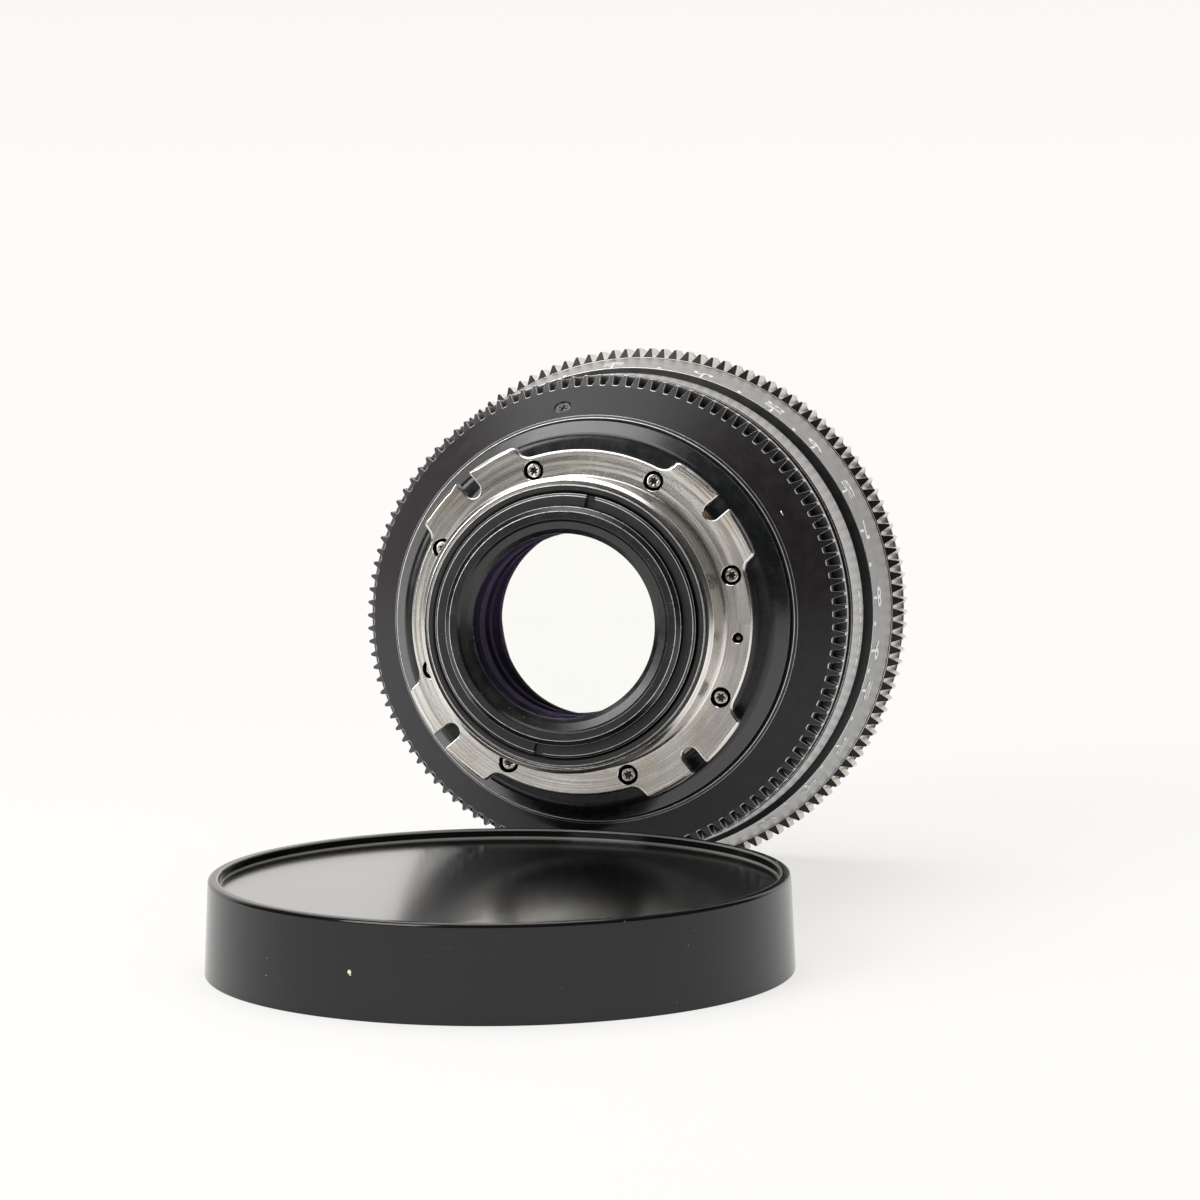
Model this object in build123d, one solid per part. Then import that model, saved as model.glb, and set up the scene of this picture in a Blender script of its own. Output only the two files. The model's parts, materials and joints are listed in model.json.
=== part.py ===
from build123d import *
import math
import os

# Cinema prime lens lying on its focus gear and leaning on its own front cap.
# Millimetres and degrees. Each piece of the lens is made about its optical axis: a station is the
# distance in front of the flange's seat, and the finished lens is laid down at the end.

# Mount
tube_radius = 27.0
tube_bore_radius = 25.6
tube_length = 14.7
tube_lip_radius = 26.1
tube_lip_length = 1.1
flange_thickness = 3.3
flange_rim_radius = 32.0
tab_radius = 34.8
tab_count = 4
tab_middle_angle = 40.2
tab_gap_half_angle = 26.2
tab_edge_bevel = 0.4
notch_width = 3.15
notch_bottom_radius = 30.3
shim_thickness = 0.3
shim_radius = 30.8

# Mount screws and locating pin
screw_count = 8
screw_circle_radius = 29.45
screw_first_angle = 17.8
screw_head_radius = 1.35
screw_head_height = 1.4
screw_head_sink = 0.5
screw_shank_radius = 0.95
screw_length = 9.0
screw_socket_width = 1.3
screw_socket_depth = 0.8
counterbore_radius = 1.75
pin_angle = -4.9
pin_radius = 0.95
pin_sink = 1.2
pin_length = 6.0

# Rear barrel
rear_groove_radius = 31.0
rear_groove_end = 7.5
rear_cone_back_radius = 34.8
rear_cone_end = 11.4
rear_barrel_radius = 37.4
rear_barrel_end = 34.4
iris_chamber_radius = 35.2
iris_chamber_start = 13.0

# Rear optical group. Its rings stand behind the tube's end in steps.
sleeve_stand = 0.5
retainer_stand = 1.5
cell_stand = 3.9
sleeve_bore_radius = 24.0
sleeve_end = 12.9
retainer_bore_radius = 21.7
retainer_length = 2.5
spanner_slot_width = 1.6
spanner_slot_depth = 1.0
spanner_slot_angle = 78.5
nose_bevel_length = 0.7
nose_edge_radius = 20.75
nose_bore_radius = 19.2
nose_cone_length = 1.2
nose_lip_length = 0.4
rear_clear_radius = 16.7
rear_glass_radius = 19.5
rear_glass_edge = 6.0
rear_glass_crown = 1.2
rear_spacer_length = 5.0
rear_inner_edge = 5.0
rear_inner_crown = 1.2
rear_lock_length = 2.4
rear_cell_end = 12.2

# Gear teeth of both rings. Their outside diameter is the module times the teeth and two more.
gear_module = 0.8
tooth_depth = 2.1
tip_land_share = 0.27
gap_floor_share = 0.26

# Iris ring
iris_teeth = 114
iris_start = 13.8
iris_edge_radius = 38.0
iris_face_start = 14.7
iris_face_radius = 38.5
iris_face_end = 21.5
iris_root_edge_radius = 44.2
iris_bevel_end = 25.0
iris_teeth_end = 28.0
iris_rim_radius = 45.8
iris_end = 30.6
iris_rim_chamfer = 0.4
running_clearance = 0.05

# Screw in the iris ring's cone
face_screw_angle = 99.7
face_screw_radius = 1.6
face_screw_place_share = 0.38
face_screw_depth = 1.6
face_screw_recess = 0.35
face_screw_cross_width = 0.5
face_screw_cross_depth = 0.5

# Iris
blade_count = 9
blade_inner_radius = 18.0
blade_outer_radius = 23.4
blade_start_angle = -6.0
blade_end_angle = 118.0
blade_thickness = 0.15
blade_pitch = 0.2
blade_gap = 0.1
blade_swing = 42.0
pivot_circle_radius = 25.2
pivot_ear_radius = 1.6
stud_radius = 0.6
stud_hole_clearance = 0.05
lever_length = 8.0
lever_width = 2.6
lever_start_angle = -80.0
iris_turn = 60.0
carrier_plate_thickness = 2.0
carrier_clear_radius = 17.8
cam_ring_thickness = 2.0
cam_ring_bore_radius = 24.6
cam_slot_steps = 6
drive_pin_radius = 1.0
drive_pin_inner_radius = 33.6
drive_pin_outer_radius = 40.6
drive_pin_angle = 150.0
lock_ring_length = 2.2
slot_end_clearance = 0.3

# Index band between the rings
band_start = 34.4
band_end = 48.5
band_back_radius = 46.6
band_front_radius = 47.25
band_front_rounding = 1.2
band_back_chamfer = 0.3

# Centre barrel
centre_radius = 43.0
centre_shoulder_radius = 44.5
centre_shoulder_end = 53.25
guide_bore_radius = 38.05
helicoid_chamber_start = 50.0
helicoid_chamber_radius = 39.65
centre_back_bore_radius = 33.0
centre_back_wall = 1.2
centre_end = 89.5

# Focus ring
focus_teeth = 130
focus_start = 53.4
focus_back_radius = 48.45
scale_end = 65.1
scale_end_radius = 50.65
scale_groove_depth = 0.4
focus_bevel_start = 66.0
focus_bevel_radius = 50.8
focus_bevel_end = 69.5
focus_lands_end = 76.0
focus_end = 76.9
focus_front_radius = 51.9
focus_half_turn = 140.0

# Helicoid and carrier
helicoid_wall = 1.55
helicoid_end = 76.0
helicoid_lead = 10.0
helicoid_retainer_length = 3.0
focus_pin_radius = 2.0
focus_pin_station = 60.0
focus_pin_outer_radius = 46.0
focus_pin_angle = 90.0
key_width = 4.0
key_start = 40.0
key_length = 7.0
key_inner_radius = 36.6
key_outer_radius = 41.0
key_clearance = 0.06
key_end_clearance = 0.2
carrier_radius = 38.0
carrier_start = 40.0
carrier_end = 89.0
carrier_back_bore_radius = 27.0
carrier_first_radius = 30.0
carrier_first_seat = 49.0
carrier_second_radius = 32.0
carrier_second_seat = 62.0
carrier_third_radius = 35.0
carrier_third_seat = 78.0
carrier_glass_edge = 5.0
carrier_glass_crown = 1.6
middle_glass_edge = 6.0
middle_glass_crown = 1.8
front_glass_edge = 6.0
front_glass_crown = 2.6
spacer_wall = 1.6
front_lock_length = 3.0
front_lock_wall = 1.4

# Front barrel
front_radius = 50.0
front_start = 77.2
front_end = 97.0
front_mouth_radius = 46.5
front_mouth_start = 90.0
front_edge_chamfer = 0.6
front_ring_start = 91.0
front_ring_recess = 0.8
front_ring_bore_radius = 42.0
front_ring_step = 1.1
front_ring_steps = 4

# Front cap, lying outside face up
cap_fit_clearance = 0.1
cap_wall = 2.2
cap_draft = 0.8
cap_height = 16.9
cap_disc_thickness = 2.2
cap_recess_depth = 2.2
cap_rim_width = 2.2
cap_edge_rounding = 1.0
cap_inner_rounding = 0.5
cap_sideways = -8.0

# How the lens lies
lean_station = 16.5
lean_clearance = 0.04

overrun = 1.0
full_turn = 360.0
half_turn = 180.0

# Sizes that follow from the ones above
iris_tip_radius = gear_module * (iris_teeth + 2) / 2
focus_tip_radius = gear_module * (focus_teeth + 2) / 2
cap_bore_radius = front_radius + cap_fit_clearance
cap_base_radius = cap_bore_radius + cap_wall
cap_top_radius = cap_base_radius - cap_draft
focus_travel = helicoid_lead * focus_half_turn / full_turn
carrier_slot_end = key_start + key_length + focus_travel + key_end_clearance


def turned(*corners):
    """A solid of revolution from corners of radius and station."""
    outline = Polyline(*[(radius, 0, station) for radius, station in corners], close=True)
    return revolve(make_face(outline), Axis.Z)


def ring(inner, outer, start, end):
    """A plain ring between two stations."""
    return turned((inner, start), (outer, start), (outer, end), (inner, end))


def seen_from_rear(angle):
    """The angle about the axis of a direction seen from behind, anticlockwise from the right."""
    return half_turn - angle


def at(radius, angle, station=0):
    """A place by its radius, angle and station."""
    turn = math.radians(angle)
    return (radius * math.cos(turn), radius * math.sin(turn), station)


def rod(radius, start, end):
    """A round rod along the axis."""
    return Pos(0, 0, start) * Cylinder(radius, end - start, align=(Align.CENTER, Align.CENTER, Align.MIN))


def rod_at(place_radius, angle, radius, start, end):
    """A round rod along the axis at a radius and angle."""
    return Pos(*at(place_radius, angle)) * rod(radius, start, end)


def radial_rod(radius, inner, outer, angle, station):
    """A round rod that points away from the axis."""
    return Rot(0, 0, angle) * Pos(0, 0, station) * Rot(0, 90, 0) * rod(radius, inner, outer)


def radial_block(width, inner, outer, start, end, angle):
    """A block that points away from the axis."""
    block = Pos((inner + outer) / 2, 0, start) * Box(
        outer - inner, width, end - start, align=(Align.CENTER, Align.CENTER, Align.MIN))
    return Rot(0, 0, angle) * block


def sector(inner, outer, start_angle, end_angle):
    """A flat face between two radii and two angles."""
    middle_angle = (start_angle + end_angle) / 2
    edges = [
        ThreePointArc(at(inner, start_angle), at(inner, middle_angle), at(inner, end_angle)),
        Line(at(inner, end_angle), at(outer, end_angle)),
        ThreePointArc(at(outer, end_angle), at(outer, middle_angle), at(outer, start_angle)),
        Line(at(outer, start_angle), at(inner, start_angle)),
    ]
    return make_face(edges)


def arc_slot(radius, inner, outer, station, middle_angle, half_span):
    """A cutter for a slot through a tube's wall that a radial pin of this radius travels along."""
    body = Pos(0, 0, station - radius) * extrude(
        sector(inner, outer, middle_angle - half_span, middle_angle + half_span), 2 * radius)
    ends = [radial_rod(radius, inner, outer, middle_angle + side * half_span, station) for side in (-1, 1)]
    return body + ends[0] + ends[1]


def glass(radius, clear, start, edge, back_crown, front_crown):
    """A lens element with a flat rim outside its clear radius. A crown is how far a face bulges outwards."""
    def half_way(crown):
        sphere = (clear ** 2 + crown ** 2) / (2 * abs(crown))
        return math.copysign(math.sqrt(sphere ** 2 - (clear / 2) ** 2) - (sphere - abs(crown)), crown)
    end = start + edge
    edges = [
        ThreePointArc((0, 0, start - back_crown), (clear / 2, 0, start - half_way(back_crown)),
                      (clear, 0, start)),
        Line((clear, 0, start), (radius, 0, start)),
        Line((radius, 0, start), (radius, 0, end)),
        Line((radius, 0, end), (clear, 0, end)),
        ThreePointArc((clear, 0, end), (clear / 2, 0, end + half_way(front_crown)),
                      (0, 0, end + front_crown)),
        Line((0, 0, end + front_crown), (0, 0, start - back_crown)),
    ]
    return revolve(make_face(edges), Axis.Z)


def gear_face(teeth, tip_radius):
    """The cross-section of the teeth, its flanks run on past the tips for the envelope to cut."""
    root_radius = tip_radius - tooth_depth
    pitch = full_turn / teeth
    flank = pitch * (1 - tip_land_share - gap_floor_share) / 2
    tip_half = pitch * tip_land_share / 2
    past_tip = tooth_depth / 4
    past_half = tip_half - flank * past_tip / tooth_depth
    corners = []
    for tooth in range(teeth):
        middle = pitch * tooth
        corners += [
            at(root_radius, middle - tip_half - flank),
            at(tip_radius + past_tip, middle - past_half),
            at(tip_radius + past_tip, middle + past_half),
            at(root_radius, middle + tip_half + flank),
        ]
    return make_face(Polyline(*corners, close=True))


def toothed(envelope, teeth, tip_radius, start, end):
    """A turned blank with teeth cut between two stations."""
    return envelope & (Pos(0, 0, start) * extrude(gear_face(teeth, tip_radius), end - start))


# Mount
def mount_flange():
    blank = turned(
        (tube_bore_radius, -tube_length), (tube_lip_radius, -tube_length),
        (tube_radius, -tube_length + tube_lip_length), (tube_radius, 0),
        (tab_radius - tab_edge_bevel, 0), (tab_radius, tab_edge_bevel),
        (tab_radius, flange_thickness - tab_edge_bevel), (tab_radius - tab_edge_bevel, flange_thickness),
        (tube_bore_radius, flange_thickness))
    relief = tab_radius - flange_rim_radius
    relief_angle = tab_gap_half_angle - math.degrees(relief / tab_radius)
    for tab in range(tab_count):
        tab_angle = seen_from_rear(tab_middle_angle + full_turn / tab_count * tab)
        gap_angle = tab_angle + half_turn / tab_count
        cut = sector(flange_rim_radius, tab_radius + overrun,
                     gap_angle - relief_angle, gap_angle + relief_angle)
        blank -= Pos(0, 0, -overrun) * extrude(cut, flange_thickness + 2 * overrun)
        for side in (-1, 1):
            blank -= rod_at(tab_radius, gap_angle + side * relief_angle, relief,
                            -overrun, flange_thickness + overrun)
        notch_middle = notch_bottom_radius + notch_width / 2
        blank -= rod_at(notch_middle, tab_angle, notch_width / 2, -overrun, flange_thickness + overrun)
        blank -= radial_block(notch_width, notch_middle, tab_radius + overrun,
                              -overrun, flange_thickness + overrun, tab_angle)
    for angle in screw_angles():
        blank -= rod_at(screw_circle_radius, angle, counterbore_radius,
                        -overrun, screw_head_sink + screw_head_height)
        blank -= rod_at(screw_circle_radius, angle, screw_shank_radius, 0, flange_thickness + overrun)
    return blank - rod_at(screw_circle_radius, seen_from_rear(pin_angle), pin_radius,
                          -overrun, flange_thickness + overrun)


def screw_angles():
    return [seen_from_rear(screw_first_angle + full_turn / screw_count * number)
            for number in range(screw_count)]


def mount_screws():
    head_end = screw_head_sink + screw_head_height
    screws = []
    for angle in screw_angles():
        screw = rod(screw_head_radius, screw_head_sink, head_end)
        screw += rod(screw_shank_radius, head_end, screw_length)
        socket = extrude(RegularPolygon(screw_socket_width / 2, 6, major_radius=False), screw_socket_depth)
        screw -= Pos(0, 0, screw_head_sink) * socket
        screws.append(Pos(*at(screw_circle_radius, angle)) * screw)
    return Compound(children=screws)


def locating_pin():
    return rod_at(screw_circle_radius, seen_from_rear(pin_angle), pin_radius, pin_sink, pin_sink + pin_length)


def flange_shim():
    shim = ring(tube_bore_radius, shim_radius, flange_thickness, flange_thickness + shim_thickness)
    for angle in screw_angles():
        shim -= rod_at(screw_circle_radius, angle, screw_shank_radius, 0, flange_thickness + overrun)
    return shim - rod_at(screw_circle_radius, seen_from_rear(pin_angle), pin_radius,
                         0, flange_thickness + overrun)


# Rear barrel and rear optical group
def rear_barrel():
    start = flange_thickness + shim_thickness
    barrel = turned(
        (tube_bore_radius, start), (rear_groove_radius, start), (rear_groove_radius, rear_groove_end),
        (rear_cone_back_radius, rear_groove_end), (rear_barrel_radius, rear_cone_end),
        (rear_barrel_radius, rear_barrel_end), (iris_chamber_radius, rear_barrel_end),
        (iris_chamber_radius, iris_chamber_start), (tube_bore_radius, iris_chamber_start))
    for angle in screw_angles():
        barrel -= rod_at(screw_circle_radius, angle, screw_shank_radius, 0, screw_length)
    barrel -= rod_at(screw_circle_radius, seen_from_rear(pin_angle), pin_radius, 0, pin_sink + pin_length)
    half_span = iris_turn / 2 + math.degrees(slot_end_clearance / rear_barrel_radius)
    return barrel - arc_slot(drive_pin_radius + running_clearance, iris_chamber_radius - overrun,
                             rear_barrel_radius + overrun, cam_ring_middle(),
                             drive_pin_angle + iris_turn / 2, half_span)


def rear_sleeve():
    return ring(sleeve_bore_radius, tube_bore_radius, -tube_length - sleeve_stand, sleeve_end)


def rear_retainer():
    back = -tube_length - retainer_stand
    retainer = ring(retainer_bore_radius, sleeve_bore_radius, back, back + retainer_length)
    for opposite in (0, half_turn):
        retainer -= radial_block(spanner_slot_width, retainer_bore_radius - overrun,
                                 sleeve_bore_radius + overrun, back - overrun,
                                 back + spanner_slot_depth,
                                 seen_from_rear(spanner_slot_angle) + opposite)
    return retainer


def rear_cell():
    back = -tube_length - cell_stand
    shoulder = -tube_length - retainer_stand + retainer_length
    return turned(
        (retainer_bore_radius, back + nose_bevel_length), (nose_edge_radius, back),
        (nose_bore_radius, back), (rear_clear_radius, back + nose_cone_length),
        (rear_clear_radius, rear_glass_start), (rear_glass_radius, rear_glass_start),
        (rear_glass_radius, rear_cell_end), (sleeve_bore_radius, rear_cell_end),
        (sleeve_bore_radius, shoulder), (retainer_bore_radius, shoulder))


rear_glass_start = -tube_length - cell_stand + nose_cone_length + nose_lip_length
rear_spacer_start = rear_glass_start + rear_glass_edge
rear_inner_start = rear_spacer_start + rear_spacer_length
rear_lock_start = rear_inner_start + rear_inner_edge


# Iris
def cam_ring_start():
    return iris_chamber_start + carrier_plate_thickness + 2 * blade_gap + blade_count * blade_pitch


def cam_ring_middle():
    return cam_ring_start() + cam_ring_thickness / 2


def iris_carrier():
    plate = ring(carrier_clear_radius, iris_chamber_radius, iris_chamber_start,
                 iris_chamber_start + carrier_plate_thickness)
    for blade in range(blade_count):
        plate -= rod_at(pivot_circle_radius, full_turn / blade_count * blade,
                        stud_radius + stud_hole_clearance, 0, rear_barrel_end)
    return plate


def lever_place(turn_share):
    """Where a blade's drive stud is, at a share of the ring's turn: its radius and angle."""
    angle = math.radians(lever_start_angle + blade_swing * turn_share)
    x = pivot_circle_radius + lever_length * math.cos(angle)
    y = lever_length * math.sin(angle)
    return math.hypot(x, y), math.degrees(math.atan2(y, x))


def iris_blade(number):
    """A blade at its own level, its pivot stud towards the flange and its drive stud towards the cam ring."""
    face = sector(blade_inner_radius, blade_outer_radius, blade_start_angle, blade_end_angle)
    pivot = Pos(pivot_circle_radius, 0)
    face += pivot * Circle(pivot_ear_radius)
    neck = pivot_circle_radius - blade_outer_radius + blade_thickness
    face += Pos(pivot_circle_radius - neck / 2, 0) * Rectangle(neck, 2 * pivot_ear_radius)
    lever = Pos(lever_length / 2, 0) * Rectangle(lever_length, lever_width)
    lever += Pos(lever_length, 0) * Circle(lever_width / 2)
    face += pivot * Rot(0, 0, lever_start_angle) * lever
    level = iris_chamber_start + carrier_plate_thickness + blade_gap + number * blade_pitch
    blade = Pos(0, 0, level) * extrude(face, blade_thickness)
    pivot_start = iris_chamber_start + carrier_plate_thickness / 2
    blade += pivot * rod(stud_radius, pivot_start, level + blade_thickness)
    stud_place_radius, stud_angle = lever_place(0)
    blade += rod_at(stud_place_radius, stud_angle, stud_radius, level, cam_ring_middle() + blade_thickness)
    return Rot(0, 0, full_turn / blade_count * number) * blade


def iris_cam_ring():
    start = cam_ring_start()
    outer = iris_chamber_radius - running_clearance
    cam = ring(cam_ring_bore_radius, outer, start, start + cam_ring_thickness)
    places = []
    for step in range(cam_slot_steps + 1):
        share = step / cam_slot_steps
        radius, angle = lever_place(share)
        places.append(at(radius, angle - iris_turn * share))
    half_width = stud_radius + stud_hole_clearance
    slot = trace(Spline(*places), 2 * half_width)
    slot += Pos(*places[0]) * Circle(half_width)
    slot += Pos(*places[-1]) * Circle(half_width)
    cutter = Pos(0, 0, start - overrun) * extrude(slot, cam_ring_thickness + 2 * overrun)
    for blade in range(blade_count):
        cam -= Rot(0, 0, full_turn / blade_count * blade) * cutter
    return cam - radial_rod(drive_pin_radius, drive_pin_inner_radius, rear_barrel_radius,
                            drive_pin_angle, cam_ring_middle())


def iris_drive_pin():
    return radial_rod(drive_pin_radius, drive_pin_inner_radius, drive_pin_outer_radius,
                      drive_pin_angle, cam_ring_middle())


def iris_lock_ring():
    start = cam_ring_start() + cam_ring_thickness + blade_gap
    return ring(cam_ring_bore_radius, iris_chamber_radius, start, start + lock_ring_length)


def face_screw_frame():
    """Stands on the iris ring's cone at the screw, its own axis square to the cone."""
    radius = iris_face_radius + (iris_root_edge_radius - iris_face_radius) * face_screw_place_share
    station = iris_face_start + (iris_face_end - iris_face_start) * face_screw_place_share
    rise = iris_root_edge_radius - iris_face_radius
    slope = math.degrees(math.atan2(rise, iris_face_end - iris_face_start))
    outwards = Rot(0, half_turn / 2 + slope, 0)
    return Rot(0, 0, seen_from_rear(face_screw_angle)) * Pos(radius, 0, station) * outwards


def iris_ring():
    bore = rear_barrel_radius + running_clearance
    blank = turned(
        (bore, iris_start), (iris_edge_radius, iris_start), (iris_face_radius, iris_face_start),
        (iris_root_edge_radius, iris_face_end), (iris_tip_radius, iris_bevel_end),
        (iris_tip_radius, iris_teeth_end), (bore, iris_teeth_end))
    gear = toothed(blank, iris_teeth, iris_tip_radius, iris_start - overrun, iris_teeth_end)
    gear += turned(
        (bore, iris_teeth_end), (iris_rim_radius, iris_teeth_end),
        (iris_rim_radius, iris_end - iris_rim_chamfer), (iris_rim_radius - iris_rim_chamfer, iris_end),
        (bore, iris_end))
    gear -= radial_rod(drive_pin_radius, rear_barrel_radius, drive_pin_outer_radius,
                       drive_pin_angle, cam_ring_middle())
    return gear - face_screw_frame() * rod(face_screw_radius, -face_screw_depth, overrun)


def iris_face_screw():
    screw = rod(face_screw_radius, -face_screw_depth, -face_screw_recess)
    for turn in (0, 90):
        cross = Box(2 * face_screw_radius * (1 - face_screw_place_share), face_screw_cross_width,
                    2 * face_screw_cross_depth)
        screw -= Pos(0, 0, -face_screw_recess) * Rot(0, 0, turn) * cross
    return face_screw_frame() * screw


# Index band and centre barrel
def index_band():
    band = turned(
        (centre_radius, band_start), (band_back_radius - band_back_chamfer, band_start),
        (band_back_radius, band_start + band_back_chamfer), (band_front_radius, band_end),
        (centre_radius, band_end))
    return fillet(band.edges().group_by(Axis.Z)[-1].sort_by(SortBy.RADIUS)[-1], band_front_rounding)


def centre_barrel():
    barrel = turned(
        (centre_back_bore_radius, band_start), (centre_radius, band_start), (centre_radius, band_end),
        (centre_shoulder_radius, band_end), (centre_shoulder_radius, centre_shoulder_end),
        (centre_radius, centre_shoulder_end), (centre_radius, centre_end),
        (helicoid_chamber_radius, centre_end), (helicoid_chamber_radius, helicoid_chamber_start),
        (guide_bore_radius, helicoid_chamber_start), (guide_bore_radius, band_start + centre_back_wall),
        (centre_back_bore_radius, band_start + centre_back_wall))
    for side in (0, half_turn):
        barrel -= radial_block(key_width, key_inner_radius, key_outer_radius,
                               key_start, key_start + key_length, side)
    half_span = focus_half_turn + math.degrees(slot_end_clearance / centre_radius)
    return barrel - arc_slot(focus_pin_radius + running_clearance, helicoid_chamber_radius - overrun,
                             centre_radius + overrun, focus_pin_station, focus_pin_angle, half_span)


def guide_keys():
    keys = [radial_block(key_width, key_inner_radius, key_outer_radius,
                         key_start, key_start + key_length, side) for side in (0, half_turn)]
    return Compound(children=keys)


# Focus ring, helicoid and carrier
def focus_ring():
    bore = centre_radius + running_clearance
    blank = turned(
        (bore, focus_start), (focus_back_radius, focus_start), (scale_end_radius, scale_end),
        (scale_end_radius - scale_groove_depth, scale_end),
        (scale_end_radius - scale_groove_depth, focus_bevel_start), (focus_bevel_radius, focus_bevel_start), (focus_tip_radius, focus_bevel_end),
        (focus_tip_radius, focus_lands_end), (focus_front_radius, focus_end), (bore, focus_end))
    gear = toothed(blank, focus_teeth, focus_tip_radius, focus_start - overrun, focus_end + overrun)
    return gear - radial_rod(focus_pin_radius, centre_radius, focus_pin_outer_radius,
                             focus_pin_angle, focus_pin_station)


helicoid_outer = helicoid_chamber_radius - running_clearance


def helicoid_ring():
    start = helicoid_chamber_start + running_clearance
    helicoid = ring(helicoid_outer - helicoid_wall, helicoid_outer, start, helicoid_end)
    return helicoid - radial_rod(focus_pin_radius, carrier_radius, centre_radius,
                                 focus_pin_angle, focus_pin_station)


def focus_drive_pin():
    return radial_rod(focus_pin_radius, helicoid_outer - helicoid_wall + running_clearance,
                      focus_pin_outer_radius, focus_pin_angle, focus_pin_station)


def helicoid_retainer():
    start = helicoid_end + running_clearance
    return ring(carrier_radius + running_clearance, helicoid_chamber_radius, start,
                start + helicoid_retainer_length)


def focus_carrier():
    carrier = turned(
        (carrier_back_bore_radius, carrier_start), (carrier_radius, carrier_start),
        (carrier_radius, carrier_end), (carrier_third_radius, carrier_end),
        (carrier_third_radius, carrier_third_seat), (carrier_second_radius, carrier_third_seat),
        (carrier_second_radius, carrier_second_seat), (carrier_first_radius, carrier_second_seat),
        (carrier_first_radius, carrier_first_seat), (carrier_back_bore_radius, carrier_first_seat))
    for side in (0, half_turn):
        carrier -= radial_block(key_width + 2 * key_clearance, key_inner_radius - key_clearance,
                                carrier_radius + overrun, carrier_start - overrun, carrier_slot_end, side)
    return carrier


first_spacer_start = carrier_first_seat + carrier_glass_edge
second_spacer_start = carrier_second_seat + middle_glass_edge
front_lock_start = carrier_third_seat + front_glass_edge


# Front
def front_barrel():
    return turned(
        (centre_radius, front_start), (front_radius - front_edge_chamfer, front_start),
        (front_radius, front_start + front_edge_chamfer), (front_radius, front_end - front_edge_chamfer),
        (front_radius - front_edge_chamfer, front_end), (front_mouth_radius, front_end),
        (front_mouth_radius, front_mouth_start), (centre_radius, front_mouth_start))


def front_ring():
    """Its bore opens towards the front in steps that keep stray light out."""
    corners = [(front_mouth_radius, front_ring_start), (front_mouth_radius, front_end - front_ring_recess)]
    length = (front_end - front_ring_recess - front_ring_start) / front_ring_steps
    for step in range(front_ring_steps):
        radius = front_ring_bore_radius + front_ring_step * (front_ring_steps - 1 - step)
        front = front_end - front_ring_recess - length * step
        corners += [(radius, front), (radius, front - length)]
    return turned(*corners)


# Cap
def front_cap():
    """Open below. Its outside face is sunk in a thin rim."""
    recess_floor = cap_height - cap_recess_depth
    recess_radius = cap_top_radius - cap_rim_width
    cap = turned(
        (0, recess_floor), (recess_radius, recess_floor), (recess_radius, cap_height),
        (cap_top_radius, cap_height), (cap_base_radius, 0), (cap_bore_radius, 0),
        (cap_bore_radius, recess_floor - cap_disc_thickness), (0, recess_floor - cap_disc_thickness))
    top_edges = cap.edges().filter_by(GeomType.CIRCLE).group_by(Axis.Z)[-1].sort_by(SortBy.RADIUS)
    cap = fillet(top_edges[-1], cap_edge_rounding)
    inner = cap.edges().filter_by(GeomType.CIRCLE).group_by(Axis.Z)[-1].sort_by(SortBy.RADIUS)[0]
    return fillet(inner, cap_inner_rounding)


# Laying the lens down
# The bottom of the focus gear is on the ground and the cone of the iris ring leans on the cap's back edge.
def lie_down():
    """The tilt in degrees, the seat's height, and how far the cap's middle lies behind the seat."""
    cone_rise = iris_root_edge_radius - iris_face_radius
    cone_run = iris_face_end - iris_face_start
    cone_radius = iris_face_radius + cone_rise * (lean_station - iris_face_start) / cone_run
    along = focus_lands_end - lean_station
    across = focus_tip_radius - cone_radius
    tilt = 0
    for _ in range(12):
        normal = math.atan2(cone_rise, cone_run) + tilt
        sink = cap_edge_rounding * (1 - math.cos(normal)) - lean_clearance * math.cos(normal)
        touch_height = cap_height - sink
        tilt = math.asin(touch_height / math.hypot(along, across)) - math.atan2(across, along)
    height = focus_lands_end * math.sin(tilt) + focus_tip_radius * math.cos(tilt)
    touch_place = lean_station * math.cos(tilt) - cone_radius * math.sin(tilt)
    cone_bend = cone_run / cone_rise / (2 * cone_radius)
    edge_bend = 1 / (2 * cap_top_radius)
    sideways_room = cap_sideways ** 2 * cone_bend * edge_bend / (cone_bend + edge_bend)
    edge_reach = cap_top_radius - cap_edge_rounding * (1 - math.sin(normal))
    cap_place = touch_place - edge_reach + sideways_room - lean_clearance * math.sin(normal)
    return math.degrees(tilt), height, cap_place


tilt, seat_height, cap_place = lie_down()
cosine = math.cos(math.radians(tilt))
sine = math.sin(math.radians(tilt))
middle_x = (cap_sideways - cap_base_radius + focus_tip_radius) / 2
middle_y = (cap_place - cap_base_radius + front_end * cosine + (front_radius - front_edge_chamfer) * sine) / 2
lens_place = Pos(-middle_x, -middle_y, 0) * Plane(
    origin=(0, 0, seat_height), x_dir=(-1, 0, 0), z_dir=(0, cosine, -sine)).location
cap_location = Pos(cap_sideways - middle_x, cap_place - middle_y, 0)

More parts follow.
